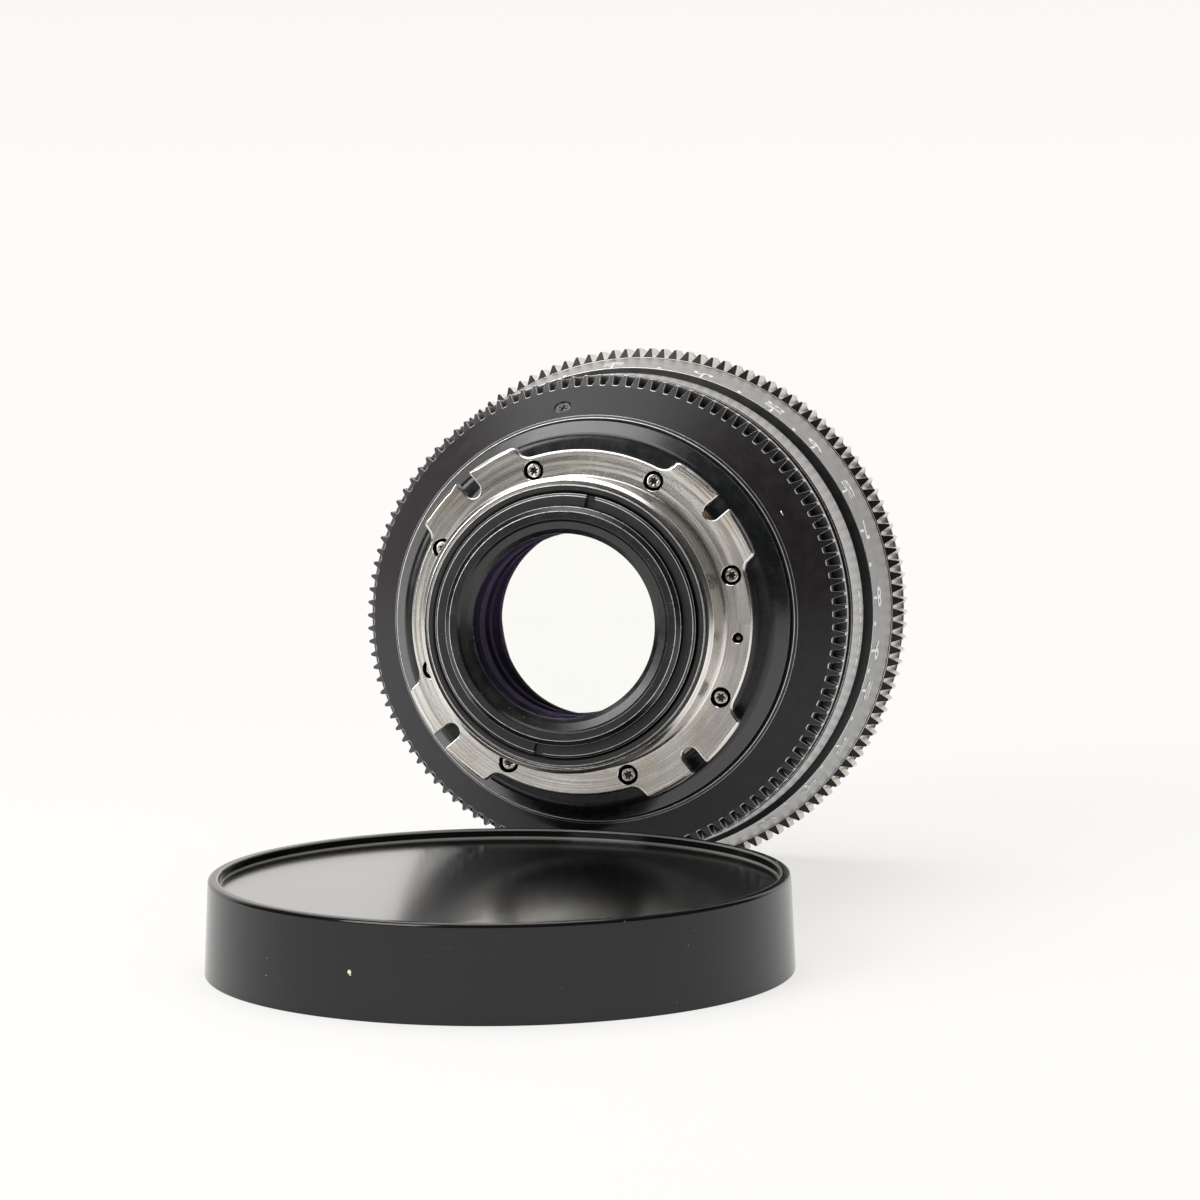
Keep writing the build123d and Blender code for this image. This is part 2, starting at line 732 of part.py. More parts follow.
lens_pieces = {
    "mount_flange": mount_flange(),
    "mount_screws": mount_screws(),
    "locating_pin": locating_pin(),
    "flange_shim": flange_shim(),
    "rear_barrel": rear_barrel(),
    "rear_sleeve": rear_sleeve(),
    "rear_retainer": rear_retainer(),
    "rear_cell": rear_cell(),
    "rear_element": glass(rear_glass_radius, rear_clear_radius, rear_glass_start, rear_glass_edge,
                          -rear_glass_crown, rear_glass_crown),
    "rear_spacer": ring(rear_clear_radius, rear_glass_radius, rear_spacer_start, rear_inner_start),
    "rear_inner_element": glass(rear_glass_radius, rear_clear_radius, rear_inner_start, rear_inner_edge,
                                rear_inner_crown, -rear_inner_crown),
    "rear_lock_ring": ring(rear_clear_radius, rear_glass_radius, rear_lock_start,
                           rear_lock_start + rear_lock_length),
    "iris_carrier": iris_carrier(),
    "iris_cam_ring": iris_cam_ring(),
    "iris_drive_pin": iris_drive_pin(),
    "iris_lock_ring": iris_lock_ring(),
    "iris_ring": iris_ring(),
    "iris_face_screw": iris_face_screw(),
    "index_band": index_band(),
    "centre_barrel": centre_barrel(),
    "guide_keys": guide_keys(),
    "focus_ring": focus_ring(),
    "helicoid_ring": helicoid_ring(),
    "focus_drive_pin": focus_drive_pin(),
    "helicoid_retainer": helicoid_retainer(),
    "focus_carrier": focus_carrier(),
    "carrier_element": glass(carrier_first_radius, carrier_back_bore_radius, carrier_first_seat,
                             carrier_glass_edge, carrier_glass_crown, -carrier_glass_crown),
    "carrier_spacer": ring(carrier_first_radius - spacer_wall, carrier_first_radius,
                           first_spacer_start, carrier_second_seat),
    "middle_element": glass(carrier_second_radius, carrier_first_radius, carrier_second_seat,
                            middle_glass_edge, -middle_glass_crown, middle_glass_crown),
    "middle_spacer": ring(carrier_second_radius - spacer_wall, carrier_second_radius,
                          second_spacer_start, carrier_third_seat),
    "front_element": glass(carrier_third_radius, carrier_second_radius, carrier_third_seat,
                           front_glass_edge, -front_glass_crown, front_glass_crown),
    "front_lock_ring": ring(carrier_third_radius - front_lock_wall, carrier_third_radius,
                            front_lock_start, front_lock_start + front_lock_length),
    "front_barrel": front_barrel(),
    "front_ring": front_ring(),
}
for blade_number in range(blade_count):
    lens_pieces[f"iris_blade_{blade_number + 1}"] = iris_blade(blade_number)

os.makedirs("parts", exist_ok=True)
for name, piece in lens_pieces.items():
    export_step(lens_place * piece, f"parts/{name}.step")
export_step(cap_location * front_cap(), "parts/front_cap.step")

print("tilt", round(tilt, 4), "seat height", round(seat_height, 4))
print("seat middle", [round(value, 4) for value in lens_place.position])
print("cap middle", [round(value, 4) for value in cap_location.position])
print("cam ring middle", cam_ring_middle())
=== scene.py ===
import cmath
import json
import math

import bmesh
import bpy
from mathutils import Matrix, Vector


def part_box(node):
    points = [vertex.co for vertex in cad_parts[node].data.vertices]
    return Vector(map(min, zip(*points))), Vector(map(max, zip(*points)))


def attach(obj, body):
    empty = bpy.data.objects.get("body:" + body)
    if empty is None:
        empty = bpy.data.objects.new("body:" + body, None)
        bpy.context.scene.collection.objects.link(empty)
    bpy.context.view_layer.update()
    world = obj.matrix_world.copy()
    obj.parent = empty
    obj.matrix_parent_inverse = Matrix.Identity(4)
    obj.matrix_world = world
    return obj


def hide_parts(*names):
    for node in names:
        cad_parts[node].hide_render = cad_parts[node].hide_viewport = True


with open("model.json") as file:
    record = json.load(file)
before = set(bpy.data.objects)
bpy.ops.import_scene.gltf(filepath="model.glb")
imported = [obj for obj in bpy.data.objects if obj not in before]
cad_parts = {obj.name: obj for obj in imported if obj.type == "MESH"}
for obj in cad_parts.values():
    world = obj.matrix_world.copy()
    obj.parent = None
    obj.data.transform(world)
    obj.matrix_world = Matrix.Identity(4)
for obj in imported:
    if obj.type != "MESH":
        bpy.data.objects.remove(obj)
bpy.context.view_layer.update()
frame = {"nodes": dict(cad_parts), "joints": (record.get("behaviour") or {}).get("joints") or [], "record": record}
nodes = frame["nodes"]
slot_of = {subpart["node"]: subpart["material_slot"] for subpart in frame["record"]["subparts"]}
iris_turn = next(joint for joint in frame["joints"] if joint["name"] == "iris_turn")

# The lens's own frame: stations in millimetres in front of the flange's seat, angles from its left
# seen from behind
iris_turn_station = 22.0
forward = Vector(iris_turn["axis"]).normalized()
seat = Vector(iris_turn["pos_m"]) - forward * iris_turn_station / 1000
left = Vector((-1, 0, 0))
lens = Matrix((left, forward.cross(left), forward)).transposed().to_4x4()
lens.translation = seat

# The cap's own frame, on the floor under its middle
cap_low, cap_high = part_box("front_cap")
cap_middle = (cap_low + cap_high) / 2
cap_frame = Matrix.Translation((cap_middle.x, cap_middle.y, 0))


def polar(place, radius, angle, station):
    """The point of a frame at a radius and station in millimetres and an angle in radians."""
    return place @ (Vector((radius * math.cos(angle), radius * math.sin(angle), station)) / 1000)


# Outlines
def soften(points, radius=0.15, steps=3, closed=True, special=None, plain=(), line=0.06):
    """Rounds the corners of an outline of (radius, station) points. Gives (radius, station, wear).

    special gives single corners another radius, and the corners in plain carry no wear.
    """
    result = []
    count = len(points)
    for index, corner in enumerate(points):
        here = Vector(corner)
        if not closed and index in (0, count - 1):
            result.append((here.x, here.y, 0.0))
            continue
        back = Vector(points[index - 1]) - here
        ahead = Vector(points[(index + 1) % count]) - here
        wanted = (special or {}).get(index, radius)
        opening = back.angle(ahead)
        if wanted == 0 or opening > math.radians(178):
            result.append((here.x, here.y, 0.0))
            continue
        cut = min(wanted / math.tan(opening / 2), 0.45 * back.length, 0.45 * ahead.length)
        first = here + back.normalized() * cut
        last = here + ahead.normalized() * cut
        edge = 0.0 if index in plain else 1.0
        if back.length > 2.5 * cut + line:
            outer = first + back.normalized() * line
            result.append((outer.x, outer.y, 0.0))
        for step in range(steps + 1):
            share = step / steps
            point = first * (1 - share) ** 2 + here * 2 * share * (1 - share) + last * share ** 2
            result.append((point.x, point.y, edge))
        if ahead.length > 2.5 * cut + line:
            outer = last + ahead.normalized() * line
            result.append((outer.x, outer.y, 0.0))
    return result


def finer(outline, longest=1.2, closed=True):
    """Adds points along the long runs of an outline."""
    result = []
    count = len(outline)
    for index, point in enumerate(outline):
        result.append(point)
        if index == count - 1 and not closed:
            break
        after = outline[(index + 1) % count]
        length = math.hypot(after[0] - point[0], after[1] - point[1])
        extra = int(length / longest)
        for step in range(1, extra + 1):
            share = step / (extra + 1)
            result.append((point[0] + (after[0] - point[0]) * share,
                           point[1] + (after[1] - point[1]) * share, 0.0))
    return result


# Meshes
def new_piece(name, points, faces, wears, body, replaced, material, recess_shades=None):
    """A piece that rides on a body and may replace a node. Wear and painted recess shade are given for each point.
    """
    mesh = bpy.data.meshes.new(name)
    mesh.from_pydata([tuple(point) for point in points], [], faces)
    for attribute, values in (("wear", wears), ("recess_shade", recess_shades or [0.0] * len(points))):
        layer = mesh.attributes.new(attribute, "FLOAT", "POINT")
        layer.data.foreach_set("value", values)
    work = bmesh.new()
    work.from_mesh(mesh)
    bmesh.ops.remove_doubles(work, verts=work.verts, dist=2e-6)
    bmesh.ops.recalc_face_normals(work, faces=work.faces)
    work.to_mesh(mesh)
    work.free()
    mesh.validate()
    mesh.shade_smooth()
    mesh.set_sharp_from_angle(angle=math.radians(40))
    piece = bpy.data.objects.new(name, mesh)
    bpy.context.scene.collection.objects.link(piece)
    weighted = piece.modifiers.new("weighted", "WEIGHTED_NORMAL")
    weighted.keep_sharp = True
    piece.data.materials.append(material)
    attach(piece, body)
    if replaced:
        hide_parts(replaced)
    return piece


def grid_faces(columns, rows):
    """The faces of a skin of columns that close round, each a closed outline of as many points."""
    faces = []
    for column in range(columns):
        after = (column + 1) % columns
        for row in range(rows):
            below = (row + 1) % rows
            faces.append((column * rows + row, column * rows + below, after * rows + below,
                          after * rows + row))
    return faces


def turned(node, outline, material, columns, place=lens, change=None):
    """Replaces a node of the housing by a piece turned from a closed outline of (radius, station, wear)."""
    points = []
    wears = []
    for column in range(columns):
        angle = math.tau * column / columns
        for radius, station, edge in outline:
            if change:
                radius, station, edge = change(math.degrees(angle), radius, station, edge)
            points.append(polar(place, radius, angle, station))
            wears.append(edge)
    faces = grid_faces(columns, len(outline))
    return new_piece(node + "_skin", points, faces, wears, "housing", node, material)


class Skin:
    """Gathers the points, faces, wear and painted recess shade of a piece, loop by loop."""

    def __init__(self):
        self.points, self.faces, self.wears, self.recess_shades = [], [], [], []

    def loop(self, points, worn=0.0, shaded=0.0):
        first = len(self.points)
        self.points += points
        self.wears += [worn] * len(points)
        self.recess_shades += [shaded] * len(points)
        return list(range(first, len(self.points)))

    def join(self, loops):
        """Closes the bands between loops that follow each other."""
        for one, other in zip(loops, loops[1:]):
            for number in range(len(one)):
                after = (number + 1) % len(one)
                self.faces.append((one[number], other[number], other[after], one[after]))

    def fill(self, loops):
        """Closes the flat face between loops."""
        work = bmesh.new()
        corners = {index: work.verts.new(self.points[index]) for one in loops for index in one}
        order = {corner: index for index, corner in corners.items()}
        edges = []
        for one in loops:
            for number, index in enumerate(one):
                edges.append(work.edges.new((corners[index], corners[one[(number + 1) % len(one)]])))
        filled = bmesh.ops.triangle_fill(work, use_beauty=True, use_dissolve=False, edges=edges)
        for item in filled["geom"]:
            if isinstance(item, bmesh.types.BMFace):
                self.faces.append(tuple(order[corner] for corner in item.verts))
        work.free()

    def finish(self, name, body, replaced, material):
        return new_piece(name, self.points, self.faces, self.wears, body, replaced, material, self.recess_shades)


# Materials
class Nodes:
    """Builds a node tree."""

    def __init__(self, tree):
        self.tree = tree
        tree.nodes.clear()

    def add(self, kind, values=(), **settings):
        """Adds a node with its settings, and sets or links its first sockets."""
        node = self.tree.nodes.new(kind)
        for key, value in settings.items():
            setattr(node, key, value)
        for value, socket in zip(values, node.inputs):
            self.join(value, socket)
        return node

    def join(self, source, target):
        """Links a socket, or sets it to a constant."""
        if isinstance(source, (int, float, tuple)):
            target.default_value = source
        else:
            self.tree.links.new(source, target)

    def math(self, operation, a, b=0.0, c=0.0, clamp=False):
        return self.add("ShaderNodeMath", (a, b, c), operation=operation, use_clamp=clamp).outputs[0]

    def mix(self, share, a, b):
        """A colour between two. The node's sockets 6 and 7 are its colours."""
        node = self.add("ShaderNodeMix", (share,), data_type="RGBA")
        for value, socket in ((a, node.inputs[6]), (b, node.inputs[7])):
            self.join(value + (1.0,) if isinstance(value, tuple) else value, socket)
        return node.outputs[2]

    def blend(self, share, a, b):
        """A number between two. The node's sockets 2 and 3 are its numbers."""
        node = self.add("ShaderNodeMix", (share,), data_type="FLOAT")
        self.join(a, node.inputs[2])
        self.join(b, node.inputs[3])
        return node.outputs[0]

    def either(self, share, a, b):
        """A shader between two."""
        return self.add("ShaderNodeMixShader", (share, a, b)).outputs[0]

    def fade(self, value, low, high, first=0.0, last=1.0, kind="SMOOTHSTEP"):
        """Goes from first to last while the value goes from low to high."""
        values = (value, low, high, first, last)
        return self.add("ShaderNodeMapRange", values, interpolation_type=kind).outputs[0]

    def split(self, vector):
        return self.add("ShaderNodeSeparateXYZ", (vector,)).outputs

    def combine(self, x, y, z):
        return self.add("ShaderNodeCombineXYZ", (x, y, z)).outputs[0]

    def length(self, x, y):
        squares = self.math("ADD", self.math("MULTIPLY", x, x), self.math("MULTIPLY", y, y))
        return self.math("SQRT", squares)

    def stage_share(self):
        """One for rays from the camera, from gloss and through glass."""
        path = self.add("ShaderNodeLightPath").outputs
        seen = self.math("ADD", path["Is Camera Ray"], path["Is Glossy Ray"])
        return self.math("ADD", seen, path["Is Transmission Ray"], clamp=True)


class Shader(Nodes):
    """Builds one material's nodes."""

    def __init__(self, name):
        self.material = bpy.data.materials.new(name)
        self.material.use_nodes = True
        super().__init__(self.material.node_tree)
        self.output = self.add("ShaderNodeOutputMaterial")
        self.surface = self.add("ShaderNodeBsdfPrincipled")
        self.join(self.surface.outputs[0], self.output.inputs[0])

    def set(self, **values):
        """Sets or links the surface's sockets."""
        for key, value in values.items():
            socket = self.surface.inputs[key.replace("_", " ").title().replace("Ior", "IOR")]
            if isinstance(value, tuple) and len(value) == 3:
                value = value + (1.0,)
            self.join(value, socket)

    def noise(self, vector, scale, detail=4.0, roughness=0.55):
        node = self.add("ShaderNodeTexNoise", (vector,))
        node.inputs["Scale"].default_value = scale
        node.inputs["Detail"].default_value = detail
        node.inputs["Roughness"].default_value = roughness
        return node.outputs[0]

    def spots(self, vector, scale, size):
        node = self.add("ShaderNodeTexVoronoi", (vector,))
        node.inputs["Scale"].default_value = scale
        return self.fade(node.outputs["Distance"], size, size * 0.6)

    def place_in(self, place):
        """Where a point is in a frame, in millimetres."""
        coordinates = self.add("ShaderNodeTexCoord").outputs["Object"]
        moved = self.add("ShaderNodeMapping", (coordinates,), vector_type="TEXTURE")
        moved.inputs["Location"].default_value = place.translation
        moved.inputs["Rotation"].default_value = place.to_euler()
        scaled = self.add("ShaderNodeVectorMath", (moved.outputs[0],), operation="SCALE")
        scaled.inputs["Scale"].default_value = 1000.0
        return scaled.outputs[0]

    def lens_place(self):
        """Radius, angle, station and the place in the lens's frame, in millimetres and radians."""
        place = self.place_in(lens)
        x, y, station = self.split(place)
        return self.length(x, y), self.math("ARCTAN2", y, x), station, place

    def machining(self, radius, angle, station, across=9.0, along=2.0):
        """Fine marks that run round the axis."""
        vector = self.combine(self.math("MULTIPLY", radius, across), self.math("MULTIPLY", station, across),
                              self.math("MULTIPLY", angle, along))
        return self.noise(vector, 1.0, 3.0, 0.6)

    def round_the_axis(self, place):
        """The direction round the lens's axis."""
        x, y, _ = self.split(place)
        direction = self.combine(self.math("MULTIPLY", y, -1.0), x, 0.0)
        node = self.add("ShaderNodeMapping", (direction,), vector_type="VECTOR")
        node.inputs["Rotation"].default_value = lens.to_euler()
        return node.outputs[0]

    def attribute(self, name):
        return self.add("ShaderNodeAttribute", attribute_name=name).outputs["Fac"]

    def bump(self, height, strength, distance=0.0001, normal=None):
        node = self.add("ShaderNodeBump")
        node.inputs["Strength"].default_value = strength
        node.inputs["Distance"].default_value = distance
        self.join(height, node.inputs["Height"])
        if normal is not None:
            self.join(normal, node.inputs["Normal"])
        return node.outputs[0]


def stainless():
    shader = Shader("stainless_steel")
    radius, angle, station, place = shader.lens_place()
    fine = shader.machining(radius, angle, station, 3.4, 1.1)
    broad = shader.machining(radius, angle, station, 0.9, 0.8)
    stains = shader.noise(place, 0.07, 3.0, 0.5)
    tone = shader.mix(shader.fade(stains, 0.4, 0.6), (0.74, 0.7, 0.64), (0.86, 0.84, 0.8))
    straw = shader.noise(shader.combine(shader.math("MULTIPLY", radius, 0.25), station,
                                        shader.math("MULTIPLY", angle, 2.2)), 1.0, 3.0, 0.5)
    tone = shader.mix(shader.fade(straw, 0.55, 0.68, 0.0, 0.45), tone, (0.62, 0.5, 0.34))
    tone = shader.mix(shader.fade(straw, 0.4, 0.3, 0.0, 0.4), tone, (0.56, 0.62, 0.7))
    tone = shader.mix(shader.fade(fine, 0.42, 0.66, 0.0, 0.45), tone, (0.46, 0.42, 0.38))
    tone = shader.mix(shader.fade(broad, 0.45, 0.7, 0.0, 0.35), tone, (0.88, 0.86, 0.82))
    wear = shader.attribute("wear")
    tone = shader.mix(wear, tone, (0.95, 0.93, 0.9))
    # Painted shade: the hole walls marked by this attribute are painted near black and rough, as the shade inside
    # them
    recess_shade = shader.attribute("recess_shade")
    tone = shader.mix(recess_shade, tone, (0.01, 0.009, 0.008))
    rough = shader.blend(shader.fade(broad, 0.35, 0.7), 0.2, 0.34)
    rough = shader.blend(wear, rough, 0.18)
    rough = shader.blend(recess_shade, rough, 0.75)
    shader.set(base_color=tone, metallic=1.0, roughness=rough, anisotropic=0.55)
    shader.join(shader.round_the_axis(place), shader.surface.inputs["Tangent"])
    scratch = shader.noise(place, 1.3, 8.0, 0.7)
    first = shader.bump(fine, 0.2, 0.00006)
    shader.set(normal=shader.bump(scratch, 0.05, 0.0001, first))
    return shader.material


def anodised(name, base, second, roughness, worn=(0.8, 0.77, 0.72), amount=1.0, dust=0.25, grain=0.1,
             metal=0.0, cover=0.12, coat=0.0, coat_between=None, matte_from=None, specular=0.5, cloudy=1.0,
             relief=0.04):
    """Blackened metal with bare edges. cover is the wear left where the noise spares an edge.

    amount scales the wear, dust the pale specks, grain the turning marks and relief the fine bump.
    coat_between is the two stations between which the metal has its coat, where it hasn't one all over,
    and matte_from the station from which its black is dull.
    """
    shader = Shader(name)
    radius, angle, station, place = shader.lens_place()
    marks = shader.machining(radius, angle, station, 3.0, 1.2)
    cloud = shader.noise(place, 0.35, 5.0, 0.6)
    tone = shader.mix(shader.fade(cloud, 0.35, 0.68), base, second)
    specks = shader.spots(place, 0.9, 0.09)
    thin = shader.noise(place, 0.8, 4.0, 0.6)
    specks = shader.math("MULTIPLY", specks, shader.fade(thin, 0.5, 0.62))
    tone = shader.mix(shader.math("MULTIPLY", specks, dust), tone, (0.55, 0.52, 0.48))
    broken = shader.noise(place, 1.6, 6.0, 0.7)
    edge = shader.math("MULTIPLY", shader.attribute("wear"), shader.fade(broken, 0.36, 0.5, cover, 1.0))
    edge = shader.math("MULTIPLY", edge, amount)
    stained = shader.noise(place, 0.9, 5.0, 0.65)
    stain = tuple(0.45 * part for part in worn)
    bare_tone = shader.mix(shader.fade(stained, 0.5, 0.7, 0.0, 0.55), worn, stain)
    tone = shader.mix(edge, tone, bare_tone)
    # Painted shade: points marked by this attribute, the screws' recess floors, are painted near black and lose
    # their metal
    recess_shade = shader.attribute("recess_shade")
    tone = shader.mix(recess_shade, tone, (0.006, 0.006, 0.006))
    rough = shader.blend(shader.fade(cloud, 0.35, 0.7), roughness - 0.04 * cloudy,
                         roughness + 0.06 * cloudy)
    rough = shader.blend(specks, rough, 0.8)
    bare = shader.math("MAXIMUM", edge, metal) if metal else shader.math("MULTIPLY", edge, 0.6)
    bare = shader.math("SUBTRACT", bare, recess_shade, clamp=True)
    if matte_from:
        specular = shader.fade(station, matte_from, matte_from + 0.3, specular, 0.08)
    shader.set(base_color=tone, metallic=bare, roughness=rough, specular_ior_level=specular)
    if coat_between:
        first, last = coat_between
        coat = shader.math("MULTIPLY", shader.fade(station, first, first + 0.1, 0.0, coat),
                           shader.fade(station, last, last + 0.1, 1.0, 0.0))
    shader.set(coat_weight=coat, coat_roughness=0.25)
    fine = shader.noise(place, 3.0, 4.0, 0.7)
    first = shader.bump(marks, grain, 0.00006)
    shader.set(normal=shader.bump(fine, relief, 0.00008, first))
    return shader.material


def brass(name):
    shader = Shader(name)
    radius, angle, station, place = shader.lens_place()
    marks = shader.machining(radius, angle, station)
    tone = shader.mix(marks, (0.55, 0.4, 0.2), (0.8, 0.62, 0.34))
    shader.set(base_color=tone, metallic=1.0, roughness=shader.fade(marks, 0.2, 0.8, 0.3, 0.5))
    return shader.material


def coated_glass():
    shader = Shader("coated_glass")
    place = shader.lens_place()[3]
    dust = shader.math("MULTIPLY", shader.spots(place, 0.8, 0.06), 0.3)
    shader.set(base_color=shader.mix(dust, (0.998, 0.998, 0.995), (0.8, 0.8, 0.8)),
               roughness=shader.fade(dust, 0.0, 1.0, 0.0, 0.3), transmission_weight=1.0, ior=1.12)
    shader.surface.inputs["Specular Tint"].default_value = (0.55, 0.4, 1.0, 1.0)
    return shader.material


# Marks on the cap's skirt, as (place in the cap's frame, radius)
cap_marks = [((-15.36, -49.68, 8.05), 0.42), ((-15.2, -49.72, 7.6), 0.25), ((-6.68, -51.57, 14.6), 0.2),
             ((3.7, -51.87, 2.82), 0.16), ((-19.53, -48.19, 16.2), 0.18), ((24.0, -46.1, 13.9), 0.15)]


def cap_plastic():
    """Glossy plastic with faint scratches. Only the disc inside the rim has a coat."""
    shader = Shader("cap_plastic")
    place = shader.place_in(cap_frame)
    cloud = shader.noise(place, 0.06, 3.0, 0.5)
    haze = shader.noise(place, 0.9, 8.0, 0.75)
    stretched = shader.add("ShaderNodeMapping", (place,))
    stretched.inputs["Rotation"].default_value = (0.0, 0.0, 0.6)
    stretched.inputs["Scale"].default_value = (0.12, 3.2, 1.0)
    lines = shader.noise(stretched.outputs[0], 1.0, 6.0, 0.7)
    scratches = shader.fade(lines, 0.66, 0.72)
    specks = shader.math("MULTIPLY", shader.spots(place, 0.35, 0.05), shader.fade(haze, 0.5, 0.6))
    tone = shader.mix(cloud, (0.004, 0.0045, 0.0045), (0.007, 0.0075, 0.0075))
    tone = shader.mix(shader.math("MULTIPLY", specks, 0.7), tone, (0.6, 0.58, 0.55))
    tone = shader.mix(shader.math("MULTIPLY", scratches, 0.12), tone, (0.3, 0.3, 0.3))
    rough = shader.blend(shader.fade(haze, 0.4, 0.7), 0.1, 0.16)
    rough = shader.blend(shader.math("MULTIPLY", scratches, 0.5), rough, 0.4)
    x, y, _ = shader.split(place)
    coat = shader.fade(shader.length(x, y), 49.3, 49.6, 1.0, 0.0)
    rough = shader.blend(coat, rough, 0.2)
    worn = shader.math("MULTIPLY", shader.attribute("wear"), 0.5)
    tone = shader.mix(worn, tone, (0.5, 0.49, 0.45))
    for spot, size in cap_marks:
        apart = shader.add("ShaderNodeVectorMath", (place, spot), operation="DISTANCE")
        inside = shader.fade(apart.outputs["Value"], size * 0.7, size, 1.0, 0.0)
        tone = shader.mix(inside, tone, (0.85, 0.7, 0.56) if size > 0.4 else (0.45, 0.43, 0.4))
    shader.set(base_color=tone, roughness=rough, specular_ior_level=0.45, coat_weight=coat,
               coat_roughness=0.13)
    first = shader.bump(haze, 0.03, 0.0001)
    shader.set(normal=shader.bump(scratches, 0.05, 0.00005, first))
    return shader.material


screw_steel = anodised("screw_steel", (0.6, 0.56, 0.51), (0.8, 0.76, 0.71), 0.24, metal=1.0)
screw_black = anodised("screw_black", (0.008, 0.0085, 0.0085), (0.013, 0.0135, 0.013), 0.3,
                       cover=0.3, amount=0.5)
pin_bronze = anodised("pin_bronze", (0.3, 0.22, 0.1), (0.42, 0.32, 0.16), 0.35, metal=1.0)
ring_black = anodised("ring_black", (0.017, 0.0145, 0.0168), (0.024, 0.021, 0.0235), 0.42,
                      worn=(0.95, 0.93, 0.9), cover=0.85, coat=1.0, coat_between=(28.1, 31.0),
                      specular=0.22)
focus_black = anodised("focus_black", (0.01, 0.0095, 0.0095), (0.016, 0.015, 0.015), 0.33,
                       worn=(0.93, 0.89, 0.83), cover=0.8, coat=1.0, coat_between=(53.0, 65.2),
                       matte_from=65.1, specular=0.7)
cell_black = anodised("cell_black", (0.005, 0.0055, 0.0055), (0.009, 0.0095, 0.009), 0.25,
                      worn=(0.95, 0.95, 0.9), dust=0.4, cover=0.3, coat=0.45)
inner_black = anodised("inner_black", (0.004, 0.004, 0.0045), (0.007, 0.007, 0.008), 0.38,
                       worn=(0.95, 0.94, 0.9), dust=0.4, cover=0.6, coat=0.4)
satin_black = anodised("satin_black", (0.007, 0.0085, 0.009), (0.012, 0.0135, 0.0145), 0.27, coat=0.3)
gloss_black = anodised("gloss_black", (0.007, 0.007, 0.008), (0.01, 0.01, 0.011), 0.27,
                       amount=0.6, dust=0.05, grain=0.02, coat=1.0, cloudy=0.1, relief=0.0)
# Painted reflection: the baffles are tinted purple, and the carriers faintly so, for the coatings' purple
# reflections seen through the glass
baffle_painted_reflection = anodised("baffle_painted_reflection", (0.15, 0.1, 0.21), (0.1, 0.09, 0.19), 0.75, dust=0.02,
                        specular=0.15)
carrier_painted_reflection = anodised("carrier_painted_reflection", (0.03, 0.026, 0.038), (0.022, 0.021, 0.03), 0.6, dust=0.05,
                         specular=0.15)
blade_black = anodised("blade_black", (0.02, 0.02, 0.024), (0.03, 0.03, 0.034), 0.5)
paint_white = anodised("paint_white", (0.9, 0.89, 0.86), (0.96, 0.95, 0.92), 0.4, dust=0.0, coat=1.0)
paint_cream = anodised("paint_cream", (0.9, 0.82, 0.55), (0.96, 0.88, 0.62), 0.4, dust=0.0, coat=1.0)

# The look of each slot, apart from the nodes inside the barrel that have a duller one, tinted purple as a painted
# reflection of the coatings
materials = {
    "stainless": stainless(), "screw_steel": screw_steel, "screw_black": screw_black,
    "shim_brass": brass("shim_brass"), "helicoid_brass": brass("helicoid_brass"),
    "black_anodised": satin_black, "ring_black": ring_black, "gloss_black": gloss_black,
    "inner_black": inner_black, "blade_steel": blade_black, "coated_glass": coated_glass(),
    "cap_plastic": cap_plastic(),
}
baffles = ("rear_spacer", "rear_lock_ring", "iris_carrier", "iris_lock_ring", "iris_cam_ring")
dull_with_painted_reflection = dict.fromkeys(baffles, baffle_painted_reflection)
dull_with_painted_reflection.update(dict.fromkeys(("focus_carrier", "carrier_spacer", "middle_spacer"), carrier_painted_reflection))
for node_name, node in nodes.items():
    node.data.materials.clear()
    node.data.materials.append(dull_with_painted_reflection.get(node_name, materials[slot_of[node_name]]))


# Gear rings
class Envelope:
    """The softened outline of a gear's blank up to its tips, measured along its length."""

    def __init__(self, corners, plain):
        self.points = soften(corners, 0.1, closed=False, plain=plain)
        self.lengths = [0.0]
        for before, after in zip(self.points, self.points[1:]):
            self.lengths.append(self.lengths[-1] + math.hypot(after[0] - before[0], after[1] - before[1]))

    def at(self, length):
        """The outline's point at a length."""
        for number in range(len(self.points) - 1):
            if length <= self.lengths[number + 1] or number == len(self.points) - 2:
                run = self.lengths[number + 1] - self.lengths[number]
                share = (length - self.lengths[number]) / run
                first, last = self.points[number], self.points[number + 1]
                return tuple(a + (b - a) * share for a, b in zip(first, last))

    def reach(self, radius, past):
        """The length at which the outline first comes to a radius, after a given length."""
        for number in range(len(self.points) - 1):
            low, high = self.points[number][0], self.points[number + 1][0]
            if self.lengths[number + 1] > past and low < high and low <= radius <= high:
                run = self.lengths[number + 1] - self.lengths[number]
                return self.lengths[number] + run * (radius - low) / (high - low)
        return self.lengths[-1]


def tooth_outline(teeth, tip, depth, land_share, floor_share, land_wear, gap_wear):
    """One pitch of the teeth as (angle in radians, radius, wear), from the middle of a tooth to the next."""
    land = math.pi * tip / teeth * land_share
    pitch = math.tau * tip / teeth
    foot = pitch * (0.5 - floor_share / 2)
    half = [(0.0, tip), (land, tip), (foot, tip - depth), (pitch / 2, tip - depth)]
    half = soften(half, 0.14, 4, closed=False, special={2: 0.8}, plain=(2,), line=0.05)
    result = []
    for along, radius, edge in half:
        result.append((along / tip, radius, max(edge, land_wear if radius > tip - 0.01 else gap_wear)))
    mirrored = [(math.tau / teeth - angle, radius, worn) for angle, radius, worn in reversed(result[1:-1])]
    return result + mirrored


